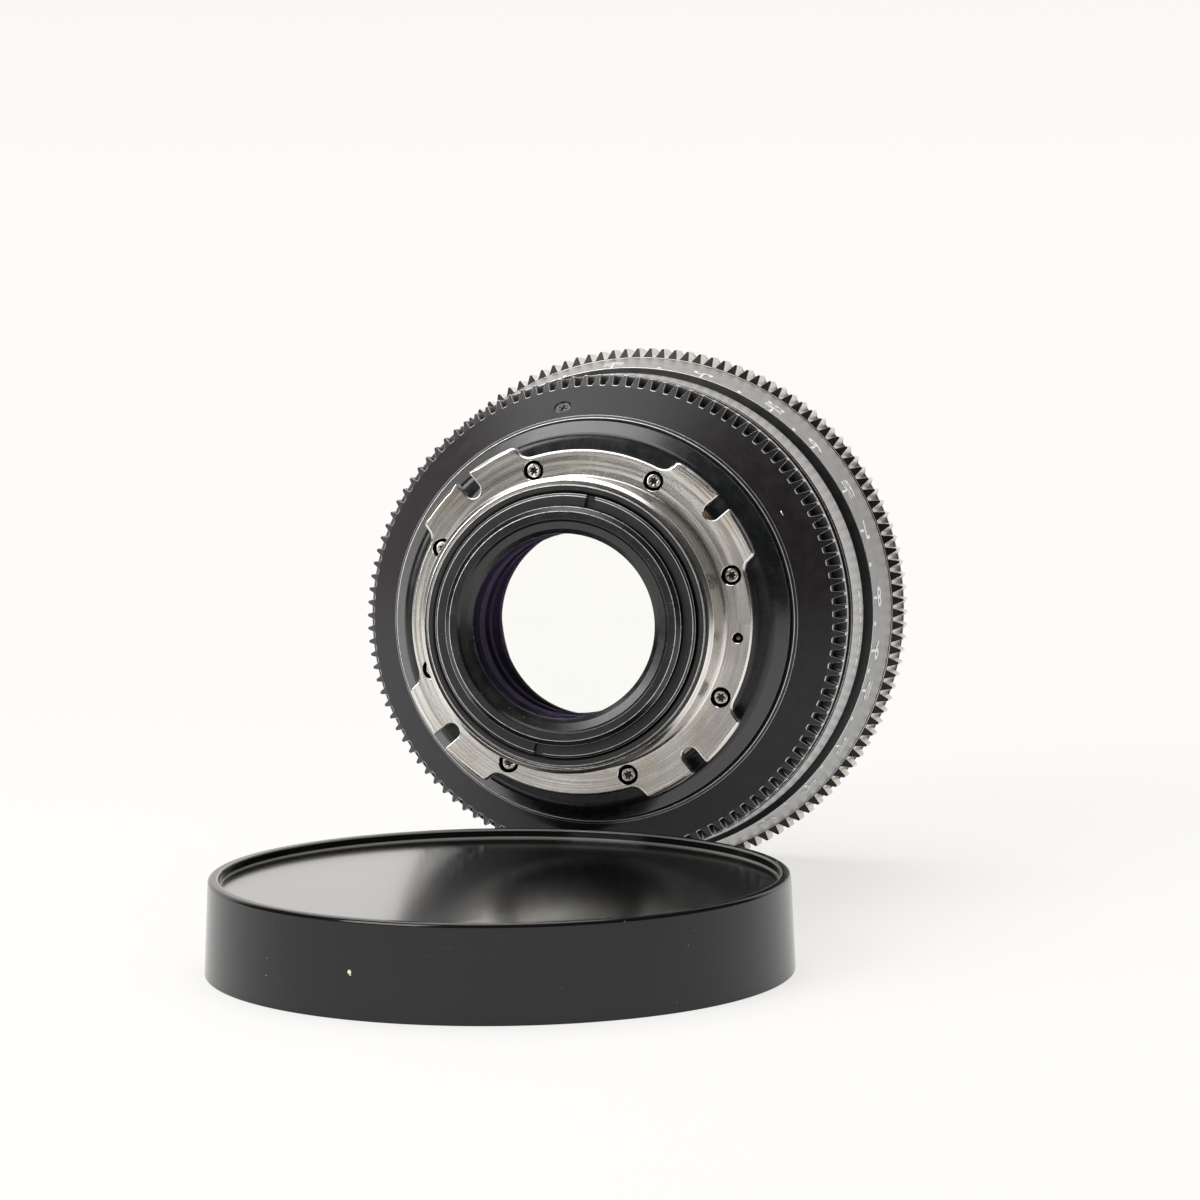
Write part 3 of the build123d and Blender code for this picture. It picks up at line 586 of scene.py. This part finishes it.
def gear(node, envelope, fixed, teeth, tip, depth, last, rest, material,
         land_share, floor_share, land_wear, gap_wear=0.0):
    """Replaces a ring by one whose teeth start where their surface leaves the blank.

    fixed is the length along the blank before which no tooth reaches, last the station where the teeth
    end, and rest the outline from there back to the bore.
    """
    pitch = tooth_outline(teeth, tip, depth, land_share, floor_share, land_wear, gap_wear)
    stops = [length for length in envelope.lengths if length < envelope.lengths[-1]]
    points = []
    wears = []
    for tooth in range(teeth):
        for along, radius, worn in pitch:
            angle = math.tau * tooth / teeth + along
            profile = tooth_profile(envelope, stops, fixed, radius, worn, tip, last) + rest
            for reach, station, edge in profile:
                points.append(polar(lens, reach, angle, station))
                wears.append(edge)
    faces = grid_faces(teeth * len(pitch), len(profile))
    return new_piece(node + "_skin", points, faces, wears, node, node, material)


def tooth_profile(envelope, stops, fixed, radius, worn, tip, last):
    """The outline at one angle: along the blank, over the edge where the tooth starts, to its end."""
    rows = 5
    crossing = envelope.reach(radius, fixed)
    profile = [envelope.at(min(stop, crossing - 0.34)) for stop in stops]
    before = envelope.at(crossing - 0.13)
    profile.append(envelope.at(crossing - 0.24)[:2] + (0.0,))
    profile.append(before[:2] + (1.0,))
    middle = envelope.at(crossing)
    after = middle[1] + 0.13
    profile.append(((before[0] + 2 * middle[0] + radius) / 4, (before[1] + 2 * middle[1] + after) / 4, 1.0))
    profile.append((radius, after, 1.0))
    for row in range(rows):
        profile.append((radius, after + 0.12 + (last - after - 0.5) * row / (rows - 1), worn))
    end_edge = 1.0 if radius > tip - 1.0 else 0.0
    profile.append((radius, last - 0.1, max(worn, end_edge)))
    profile.append((radius - 0.05, last, max(worn, end_edge)))
    return profile


iris_bore = 37.45
iris_blank = Envelope([(iris_bore, 16.0), (iris_bore, 13.8), (38.0, 13.8), (38.5, 14.7), (44.2, 21.5),
                       (46.4, 25.0)], plain=(1, 4))
iris_rest = [(46.15, 28.02, 0.15), (46.2, 28.1, 0.15), (46.2, 28.3, 0.15), (46.2, 30.2, 0.15),
             (46.2, 30.35, 1.0), (46.05, 30.55, 1.0), (45.9, 30.6, 0.0), (iris_bore, 30.6, 0.0)]
iris_skin = gear("iris_ring", iris_blank, fixed=9.0, teeth=114, tip=46.4, depth=2.1, last=28.0,
                 rest=iris_rest, material=ring_black, land_share=0.17, floor_share=0.4, land_wear=0.3)
focus_bore = 43.05
focus_blank = Envelope([(focus_bore, 60.0), (focus_bore, 53.4), (48.45, 53.4), (50.62, 65.0), (50.2, 65.25),
                        (50.2, 65.85), (50.75, 66.0), (52.8, 69.5)], plain=(1, 4, 5))
focus_rest = [(51.9, 76.9, 0.0), (51.6, 76.9, 0.0), (focus_bore, 76.9, 0.0)]
gear("focus_ring", focus_blank, fixed=24.6, teeth=130, tip=52.8, depth=1.78, last=76.0, rest=focus_rest,
     material=focus_black, land_share=0.16, floor_share=0.26, land_wear=0.95, gap_wear=0.9)

# Turned pieces
band_outline = soften([(43.0, 34.4), (46.3, 34.4), (46.6, 34.7), (47.25, 48.5), (43.0, 48.5)],
                      0.12, special={3: 2.6}, plain=(0, 3, 4))
turned("index_band", finer(band_outline, 4.0), gloss_black, 480)
barrel_outline = [(25.6, 3.6), (31.0, 3.6), (31.0, 7.5), (34.8, 7.5), (37.4, 11.4), (37.4, 34.4),
                  (35.2, 34.4), (35.2, 13.0), (25.6, 13.0)]
barrel_outline = soften(barrel_outline, 0.12, 5, special={2: 1.2, 3: 1.6, 4: 0.5}, plain=range(9))
turned("rear_barrel", barrel_outline, satin_black, 400)
sleeve_outline = [(24.02, -14.3), (24.25, -15.0), (24.6, -15.2), (25.45, -15.2), (25.6, -15.05),
                  (25.6, 12.9), (24.02, 12.9)]
turned("rear_sleeve", soften(sleeve_outline, 0.06, plain=(0, 1, 2, 5, 6)), inner_black, 360)
cell_outline = [(21.65, -17.9), (20.75, -18.6), (19.3, -18.6), (18.9, -18.15), (17.6, -17.85),
                (16.75, -17.35), (16.7, -17.0), (19.5, -17.0), (19.5, 12.2), (24.0, 12.2),
                (24.0, -13.7), (21.65, -13.7)]
cell_outline = soften(cell_outline, 0.07, special={2: 0.3, 4: 0.3, 5: 0.3}, plain=range(2, 12))
turned("rear_cell", cell_outline, cell_black, 360)
front_outline = [(43.0, 77.2), (49.4, 77.2), (50.0, 77.8), (50.0, 96.4), (49.4, 97.0), (46.5, 97.0),
                 (46.5, 90.0), (43.0, 90.0)]
turned("front_barrel", finer(soften(front_outline, 0.12, plain=(0, 6, 7)), 4.0), satin_black, 480)


def retainer_slots(angle, radius, station, edge):
    """Lowers the retainer's back face in the two spanner slots."""
    slot_angle, slot_floor, half_width = 180 - 78.5, -15.2, 0.8
    away = abs((angle - slot_angle + 90) % 180 - 90)
    if away < math.degrees(half_width / radius) and station < slot_floor:
        return radius, slot_floor, 0.0
    return radius, station, edge


retainer_outline = [(21.72, -16.2), (23.55, -16.2), (23.97, -15.8), (23.97, -13.7), (21.72, -13.7)]
turned("rear_retainer", soften(retainer_outline, 0.07, plain=(0, 3, 4)), inner_black, 1440,
       change=retainer_slots)

# Mount flange. Its screws and its pin stand on one circle, and their angles are in degrees.
bolt_circle = 29.45
screw_angles = [180 - 17.8 - 45 * number for number in range(8)]
pin_angle = 180 + 4.9
tab_angle = 180 - 40.2
counterbore = 1.84
pin_hole = 0.98


def flange_outline():
    """The flange's edge as (place, bevel), with places as complex numbers, by rising angle.

    Half a tab runs from the middle of its notch over its end and the round relief beside it to the
    middle of the gap.
    """
    notch, notch_middle, notch_mouth, notch_bevel = 1.575, 31.875, 33.0, 0.12
    tab_radius, tab_end, tab_bevel = 34.8, 18.8, 0.45
    gap_radius, gap_bevel = 32.0, 0.3
    relief_radius, relief_angle = 2.8, 23.41
    corner_turn = 0.05
    half = []
    for step in range(7):
        turn = math.pi / 2 * step / 6
        place = complex(notch_middle - notch * math.cos(turn), notch * math.sin(turn))
        half.append((place, notch_bevel))
    half.append((complex(notch_mouth, notch), notch_bevel))
    first = math.asin(notch / tab_radius)
    last = math.radians(tab_end)
    half += rounded_corner(complex(notch_mouth, notch), tab_radius * cmath.exp(1j * first),
                           tab_radius * cmath.exp(1j * (first + corner_turn)), 0.3, notch_bevel)
    for step in range(10):
        turn = first + corner_turn + (last - corner_turn - first - corner_turn) * step / 9
        half.append((tab_radius * cmath.exp(1j * turn), tab_bevel))
    centre = tab_radius * cmath.exp(1j * math.radians(relief_angle))
    start = cmath.phase(tab_radius * cmath.exp(1j * last) - centre)
    finish = cmath.phase(-centre)
    turn = (finish - start) % math.tau
    if turn > math.pi:
        turn -= math.tau
    relief = [centre + relief_radius * cmath.exp(1j * (start + turn * share / 8)) for share in range(9)]
    half += rounded_corner(tab_radius * cmath.exp(1j * (last - corner_turn)), relief[0], relief[3], 0.9,
                           gap_bevel)
    half += [(point, gap_bevel) for point in relief[4:]]
    for step in range(1, 12):
        angle = relief_angle + (45 - relief_angle) * step / 12
        half.append((gap_radius * cmath.exp(1j * math.radians(angle)), gap_bevel))
    tab = [(point.conjugate(), bevel) for point, bevel in reversed(half[1:])] + half
    outline = []
    for number in range(4):
        middle = cmath.exp(1j * math.radians(tab_angle + 90 * number))
        outline += [(point * middle, bevel) for point, bevel in tab]
        outline.append((gap_radius * cmath.exp(1j * math.radians(45)) * middle, gap_bevel))
    return outline


def rounded_corner(before, corner, after, radius, bevel):
    """Five points round a corner, each with its bevel."""
    first = corner + (before - corner) / abs(before - corner) * radius
    last = corner + (after - corner) / abs(after - corner) * radius
    result = []
    for step in range(5):
        share = step / 4
        point = first * (1 - share) ** 2 + corner * 2 * share * (1 - share) + last * share ** 2
        result.append((point, bevel))
    return result


def flange():
    """The flange with its notches, bevels, counterbores and tube."""
    skin = Skin()
    outline = flange_outline()
    places = [place for place, bevel in outline]
    inwards = []
    for number in range(len(places)):
        along = places[(number + 1) % len(places)] - places[number - 1]
        inwards.append(1j * along / abs(along))

    def at(place, station):
        return lens @ (Vector((place.real, place.imag, station)) / 1000)

    def edge_loop(share, station, worn=0.0, extra=0.0):
        """The outline moved inwards by a share of its bevel, at a station given by the bevel."""
        return skin.loop([at(place + inward * (bevel * share + extra), station(bevel))
                          for (place, bevel), inward in zip(outline, inwards)], worn)

    def circle_loop(radius, count, station, worn=0.0, shaded=0.0, middle=0j):
        turns = [cmath.exp(1j * math.tau * step / count) for step in range(count)]
        return skin.loop([at(middle + radius * turn, station) for turn in turns], worn, shaded)

    def hole(angle, count, radius, mouth):
        """A hole on the screws' circle. Gives the loop round it.

        mouth is how far the worn rim reaches out at its outside and inside, and how deep it goes.
        """
        middle = bolt_circle * cmath.exp(1j * math.radians(angle))
        outer, inner, drop = mouth
        # Rows as (radius, depth, wear, painted shade): the walls below the rim are painted dark as the shade in
        # the hole
        rows = [(radius + outer, 0, 0.0, 0.0), (radius + inner, 0, 1.0, 0.0), (radius, drop, 1.0, 0.0),
                (radius, drop + 0.05, 0.0, 1.0), (radius, 1.9, 0.0, 1.0)]
        loops = [circle_loop(reach, count, station, worn, shaded, middle)
                 for reach, station, worn, shaded in rows]
        skin.join(loops)
        skin.faces.append(tuple(loops[-1]))
        return loops[0]

    edge_loops = [
        edge_loop(1.0, lambda bevel: 0, extra=0.16),
        edge_loop(1.0, lambda bevel: 0, 1.0, extra=0.06),
        edge_loop(0.93, lambda bevel: 0.07 * bevel, 1.0),
        edge_loop(0.85, lambda bevel: 0.15 * bevel, 0.1),
        edge_loop(0.15, lambda bevel: 0.85 * bevel, 0.1),
        edge_loop(0.06, lambda bevel: 0.95 * bevel, 1.0),
        edge_loop(0.0, lambda bevel: bevel + 0.1, 1.0),
        edge_loop(0.0, lambda bevel: bevel + 0.22),
        edge_loop(0.0, lambda bevel: 2.9),
        edge_loop(1.0, lambda bevel: 3.3),
    ]
    skin.join(edge_loops)
    mouths = [hole(angle, 40, counterbore, (0.16, 0.09, 0.09)) for angle in screw_angles]
    mouths.append(hole(pin_angle, 28, pin_hole, (0.14, 0.08, 0.07)))
    tube = [(27.5, 0.0, 0.0), (27.32, -0.01, 1.0), (27.12, -0.08, 1.0), (27.02, -0.25, 0.0),
            (27.0, -0.6, 0.0), (27.0, -6.0, 0.0), (27.0, -13.7, 0.0), (27.0, -13.85, 1.0),
            (26.95, -13.98, 1.0), (26.88, -14.05, 0.2), (26.4, -14.6, 0.2), (26.32, -14.68, 1.0),
            (26.22, -14.7, 1.0), (26.15, -14.66, 0.6), (26.1, -14.5, 0.0), (26.0, -14.2, 0.0),
            (25.6, -14.1, 0.0), (25.6, 0.0, 0.0), (25.6, 3.3, 0.0)]
    tube_loops = [circle_loop(radius, 320, station, worn) for radius, station, worn in tube]
    skin.join(tube_loops)
    skin.fill([edge_loops[0]] + mouths + [tube_loops[0]])
    skin.fill([edge_loops[-1], tube_loops[-1]])
    skin.finish("mount_flange_skin", "housing", "mount_flange", materials["stainless"])


flange()


# Screws
def add_screw(skin, place, radius, height, recess, recess_depth):
    """Adds a round head with a softened edge and a recess. Its top is at the place's zero, its foot on +z."""
    count = 96

    def loop(shape, station, worn=0.0, shaded=0.0):
        angles = [math.tau * step / count for step in range(count)]
        return skin.loop([polar(place, shape(angle), angle, station) for angle in angles], worn, shaded)

    rows = [
        loop(lambda angle: radius, height),
        loop(lambda angle: radius, 0.24),
        loop(lambda angle: radius - 0.03, 0.12, 1.0),
        loop(lambda angle: radius - 0.12, 0.03, 1.0),
        loop(lambda angle: radius - 0.24, 0.0),
        loop(lambda angle: recess(angle) + 0.12, 0.0),
        loop(lambda angle: recess(angle) + 0.05, 0.02, 1.0),
        loop(recess, 0.08, 0.6),
        # The recess's floor is painted dark as painted shade
        loop(lambda angle: recess(angle) * 0.9, recess_depth, shaded=1.0),
    ]
    skin.join(rows)
    skin.faces += [tuple(rows[-1]), tuple(rows[0])]


def star_recess(angle):
    """Half the width of a six-lobed recess at an angle."""
    return 0.78 * (0.8 + 0.2 * math.cos(6 * angle))


def cross_recess(angle):
    """Half the width of a cross recess at an angle."""
    away = (angle + math.pi / 4) % (math.pi / 2) - math.pi / 4
    return min(1.0 / math.cos(away), 0.21 / max(abs(math.sin(away)), 0.01))


def bolt_place(angle, station):
    """A frame on the screws' circle."""
    turn = math.radians(angle)
    middle = Vector((bolt_circle * math.cos(turn), bolt_circle * math.sin(turn), station))
    return lens @ Matrix.Translation(middle / 1000)


screws = Skin()
for number, angle in enumerate(screw_angles):
    twist = Matrix.Rotation(0.9 * number, 4, "Z")
    add_screw(screws, bolt_place(angle, 0.5) @ twist, radius=1.36, height=1.4, recess=star_recess,
              recess_depth=0.55)
screws.finish("mount_screws_skin", "housing", "mount_screws", screw_steel)

# Locating pin, sunk in its hole
pin_outline = [(0.02, 0.55), (0.35, 0.6), (0.62, 0.8), (0.62, 1.85), (0.02, 1.85)]
turned("locating_pin", soften(pin_outline, 0.1, plain=range(5)), pin_bronze, 40,
       place=bolt_place(pin_angle, 0))


def bore(piece, place, radius, depth):
    """Cuts a round hole out of a piece. Radius and depth are in metres."""
    mesh = bpy.data.meshes.new("hole")
    work = bmesh.new()
    bmesh.ops.create_cone(work, cap_ends=True, segments=64, radius1=radius, radius2=radius, depth=depth,
                          matrix=place)
    work.to_mesh(mesh)
    work.free()
    hole = bpy.data.objects.new("hole", mesh)
    bpy.context.scene.collection.objects.link(hole)
    cut = piece.modifiers.new("cut", "BOOLEAN")
    cut.object = hole
    cut.operation = "DIFFERENCE"
    cut.solver = "EXACT"
    piece.modifiers.move(1, 0)
    bpy.context.view_layer.update()
    bored = bpy.data.meshes.new_from_object(piece.evaluated_get(bpy.context.evaluated_depsgraph_get()))
    piece.modifiers.clear()
    piece.data = bored
    bpy.data.objects.remove(hole)
    bpy.data.meshes.remove(mesh)


# Screw in the iris ring's cone, in a hole of its own. The cone is given as (radius, station).
cone_start = Vector((38.5, 14.7))
cone_run = Vector((5.7, 6.8))
face_screw_angle = math.radians(180 - 99.7)
face_screw_middle = cone_start + 0.38 * cone_run
slope = cone_run.normalized()
outward = Vector((math.cos(face_screw_angle), math.sin(face_screw_angle), 0))
inward = -(slope.y * outward - slope.x * Vector((0, 0, 1)))
across = Vector((-outward.y, outward.x, 0))
hole_place = (face_screw_middle.x * outward + Vector((0, 0, face_screw_middle.y))) / 1000
hole_frame = lens @ (Matrix.Translation(hole_place)
                     @ Matrix((across, inward.cross(across), inward)).transposed().to_4x4())
sunk = Matrix.Translation((0, 0, 0.00022))
twist = Matrix.Rotation(0.4, 4, "Z")
face_screw = Skin()
add_screw(face_screw, hole_frame @ sunk @ twist, radius=1.5, height=1.4, recess=cross_recess,
          recess_depth=0.6)
face_screw.finish("iris_face_screw_skin", "iris_ring", "iris_face_screw", screw_black)
bore(iris_skin, hole_frame, radius=0.00165, depth=0.003)


# Scales
half_paint = 0.03


def cone_radius(start_radius, start_station, rise, run):
    """Gives a cone's radius at a station."""
    return lambda station: start_radius + (station - start_station) * rise / run


def lettering(text, height, squeeze):
    """Figures as a thin solid, with points of (reading direction, up, thickness) and their middle at zero."""
    capital_share = 0.72
    curve = bpy.data.curves.new("lettering", "FONT")
    curve.body = text
    curve.align_x = "CENTER"
    curve.size = height / capital_share
    curve.extrude = half_paint
    curve.offset = 0.09
    curve.resolution_u = 4
    holder = bpy.data.objects.new("lettering", curve)
    bpy.context.scene.collection.objects.link(holder)
    bpy.context.view_layer.update()
    mesh = bpy.data.meshes.new_from_object(holder.evaluated_get(bpy.context.evaluated_depsgraph_get()))
    points = [(corner.co.x * squeeze, corner.co.y - height / 2, corner.co.z) for corner in mesh.vertices]
    faces = [tuple(face.vertices) for face in mesh.polygons]
    bpy.data.objects.remove(holder)
    bpy.data.curves.remove(curve)
    bpy.data.meshes.remove(mesh)
    return points, faces


def block(width, height):
    """A thin block as lettering gives it."""
    points = [(x * width / 2, y * height / 2, z) for z in (-half_paint, half_paint)
              for x, y in ((-1, -1), (1, -1), (1, 1), (-1, 1))]
    return points, [(0, 3, 2, 1), (4, 5, 6, 7), (0, 1, 5, 4), (1, 2, 6, 5), (2, 3, 7, 6), (3, 0, 4, 7)]


class Marks:
    """Paint laid on a turned surface. Figures read to the rear, and their tops point to rising angles."""

    def __init__(self, surface):
        self.surface = surface
        self.points = []
        self.faces = []

    def lay(self, shape, angle, station, lift=0.045):
        """Lays a shape at an angle in degrees and a station, lifted off the surface."""
        points, faces = shape
        first = len(self.points)
        for along, up, thickness in points:
            here = station - along
            radius = self.surface(here) + lift + thickness
            turn = math.radians(angle) + up / self.surface(station)
            self.points.append(polar(lens, radius, turn, here))
        self.faces += [tuple(first + index for index in face) for face in faces]

    def finish(self, name, body, slot, material):
        piece = new_piece(name, self.points, self.faces, [0.0] * len(self.points), body, None, material)


# Figures with their angles, the ticks between them, and the dashes as (angle, width, height)
distances = [("\u221e", 284), ("50", 268), ("30", 256), ("20", 237), ("15", 224), ("12", 212),
             ("10", 197.75), ("9", 188.25), ("8", 176), ("7", 160.25), ("6\u00bd", 150.25),
             ("6", 137.75), ("5\u00bd", 124.75), ("5", 106.5), ("4\u00bd", 85.25), ("4", 62.75),
             ("3\u00bd", 30.6), ("3", -12)]
between = [116.25, 131.75, 168.25, 182.0, 193.0, 204.75, 218.0, 230.0, 246.0, 96.5, 74.0, 47.0, 20.0, 5.0]
dashes = [(174.5, 0.7, 1.1), (176.6, 0.5, 0.7), (178.4, 0.7, 1.0), (180.6, 0.6, 1.2), (184.6, 0.5, 0.8),
          (186.4, 0.7, 0.5), (188.3, 0.5, 0.8), (190.6, 0.5, 1.3), (192.8, 0.4, 0.9)]
focus_marks = Marks(cone_radius(48.45, 53.4, 2.17, 11.6))
for figures, angle in distances:
    wide = len(figures) > 1
    focus_marks.lay(lettering(figures, height=3.9, squeeze=0.62 if wide else 0.9), angle,
                    station=58.0 if wide else 57.3)
    focus_marks.lay(block(width=2.6, height=0.5), angle, station=54.85)
for angle in between:
    focus_marks.lay(block(width=1.3, height=0.75), angle, station=54.2)
focus_marks.finish("focus_scale", "focus_ring", "ring_black", paint_white)
index_marks = Marks(cone_radius(46.6, 34.7, 0.65, 13.8))
for number, (angle, width, height) in enumerate(dashes):
    index_marks.lay(block(width * 2.4, height), angle, station=42.4 + 0.6 * (number % 2), lift=0.03)
index_marks.finish("index_scale", "housing", "gloss_black", paint_cream)

# Front cap
cap_outline = [(49.0, 15.2), (49.65, 15.2), (49.65, 16.9), (51.5, 16.9), (52.3, 0.0), (50.1, 0.0),
               (50.1, 12.5), (49.0, 12.5)]
cap_skin = soften(cap_outline, 0.12, 4, closed=False, special={1: 0.25, 2: 0.3, 3: 0.7},
                  plain=(0, 3, 4, 5, 6, 7))
cap_skin = [(0.02, 15.2, 0.0)] + finer(cap_skin, 3.0, closed=False) + [(0.02, 12.5, 0.0)]
turned("front_cap", cap_skin, materials["cap_plastic"], 480, place=cap_frame)

# Floor, a little greyer round the object for the camera, gloss and glass
paper_white = (0.985, 0.972, 0.955)
floor_mesh = bpy.data.meshes.new("floor")
floor_mesh.from_pydata([(-6, -6, 0), (6, -6, 0), (6, 6, 0), (-6, 6, 0)], [], [(0, 1, 2, 3)])
floor = bpy.data.objects.new("floor", floor_mesh)
bpy.context.scene.collection.objects.link(floor)
paper = Shader("floor_paper")
paper.set(base_color=(0.86, 0.86, 0.86), roughness=0.7, specular_ior_level=0.2)
glow = paper.add("ShaderNodeEmission", (paper_white + (1.0,),))
spot = paper.add("ShaderNodeTexCoord").outputs["Object"]
away = paper.add("ShaderNodeVectorMath", (spot,), operation="LENGTH")
far = paper.fade(away.outputs["Value"], 0.12, 0.5, 0.72, 1.0)
glow_share = paper.math("MULTIPLY", paper.stage_share(), far)
paper.join(paper.either(glow_share, paper.surface.outputs[0], glow.outputs[0]), paper.output.inputs[0])
floor_mesh.materials.append(paper.material)

# World: the camera, gloss and glass see the white paper, which gloss sees darker in front of the object
# than behind it, and everything else gets soft light
world = bpy.data.worlds.new("studio")
bpy.context.scene.world = world
world.use_nodes = True
studio = Nodes(world.node_tree)
soft = studio.add("ShaderNodeBackground", ((1.0, 1.0, 1.0, 1.0), 0.4))
direction = studio.add("ShaderNodeTexCoord").outputs["Generated"]
rising = studio.fade(studio.split(direction)[2], 0.0, 0.06, kind="LINEAR")
backdrop = studio.mix(rising, paper_white, (0.965, 0.932, 0.905))
behind = studio.add("ShaderNodeVectorMath", (direction, (-0.2, 0.98, 0.0)), operation="DOT_PRODUCT")
reflected = studio.fade(behind.outputs["Value"], 0.4, 0.76, 0.04, 1.0)
camera_ray = studio.add("ShaderNodeLightPath").outputs["Is Camera Ray"]
white = studio.add("ShaderNodeBackground", (backdrop, studio.math("MAXIMUM", reflected, camera_ray)))
background = studio.either(studio.stage_share(), soft.outputs[0], white.outputs[0])
studio.add("ShaderNodeOutputWorld", (background,))


def lamp(name, place, target, size, power):
    """A soft rectangular light aimed at a target."""
    light = bpy.data.lights.new(name, "AREA")
    light.shape = "RECTANGLE"
    light.size, light.size_y = size
    light.energy = power
    holder = bpy.data.objects.new(name, light)
    bpy.context.scene.collection.objects.link(holder)
    holder.location = place
    holder.rotation_euler = (Vector(target) - Vector(place)).to_track_quat("-Z", "Y").to_euler()


lamp("top_light", (-0.15, 0.2, 1.1), target=(0, 0, 0), size=(0.9, 1.3), power=10)
lamp("left_light", (-0.62, -0.9, 0.62), target=(0, 0, 0.05), size=(0.7, 0.7), power=9)

# Camera, at the photograph's viewing angle
focal_pixels = 4000.0
picture_pixels = 1200.0
sensor_width = 36.0
camera_place = seat + Vector((0.13445, -0.72275, 0.07585))
yaw, pitch, roll = (math.radians(value) for value in (10.256, 5.57, -0.40))
ahead = Vector((-math.sin(yaw) * math.cos(pitch), math.cos(yaw) * math.cos(pitch), -math.sin(pitch)))
level_right = Vector((math.cos(yaw), math.sin(yaw), 0))
level_up = level_right.cross(ahead)
right = math.cos(roll) * level_right + math.sin(roll) * level_up
above = -math.sin(roll) * level_right + math.cos(roll) * level_up
camera_data = bpy.data.cameras.new("camera")
camera_data.sensor_width = sensor_width
camera_data.lens = focal_pixels / picture_pixels * sensor_width
camera_data.clip_end = 20.0
camera = bpy.data.objects.new("camera", camera_data)
bpy.context.scene.collection.objects.link(camera)
camera.matrix_world = Matrix.Translation(camera_place) @ Matrix((right, above, -ahead)).transposed().to_4x4()
bpy.context.scene.camera = camera
bpy.context.scene.view_settings.view_transform = "Standard"
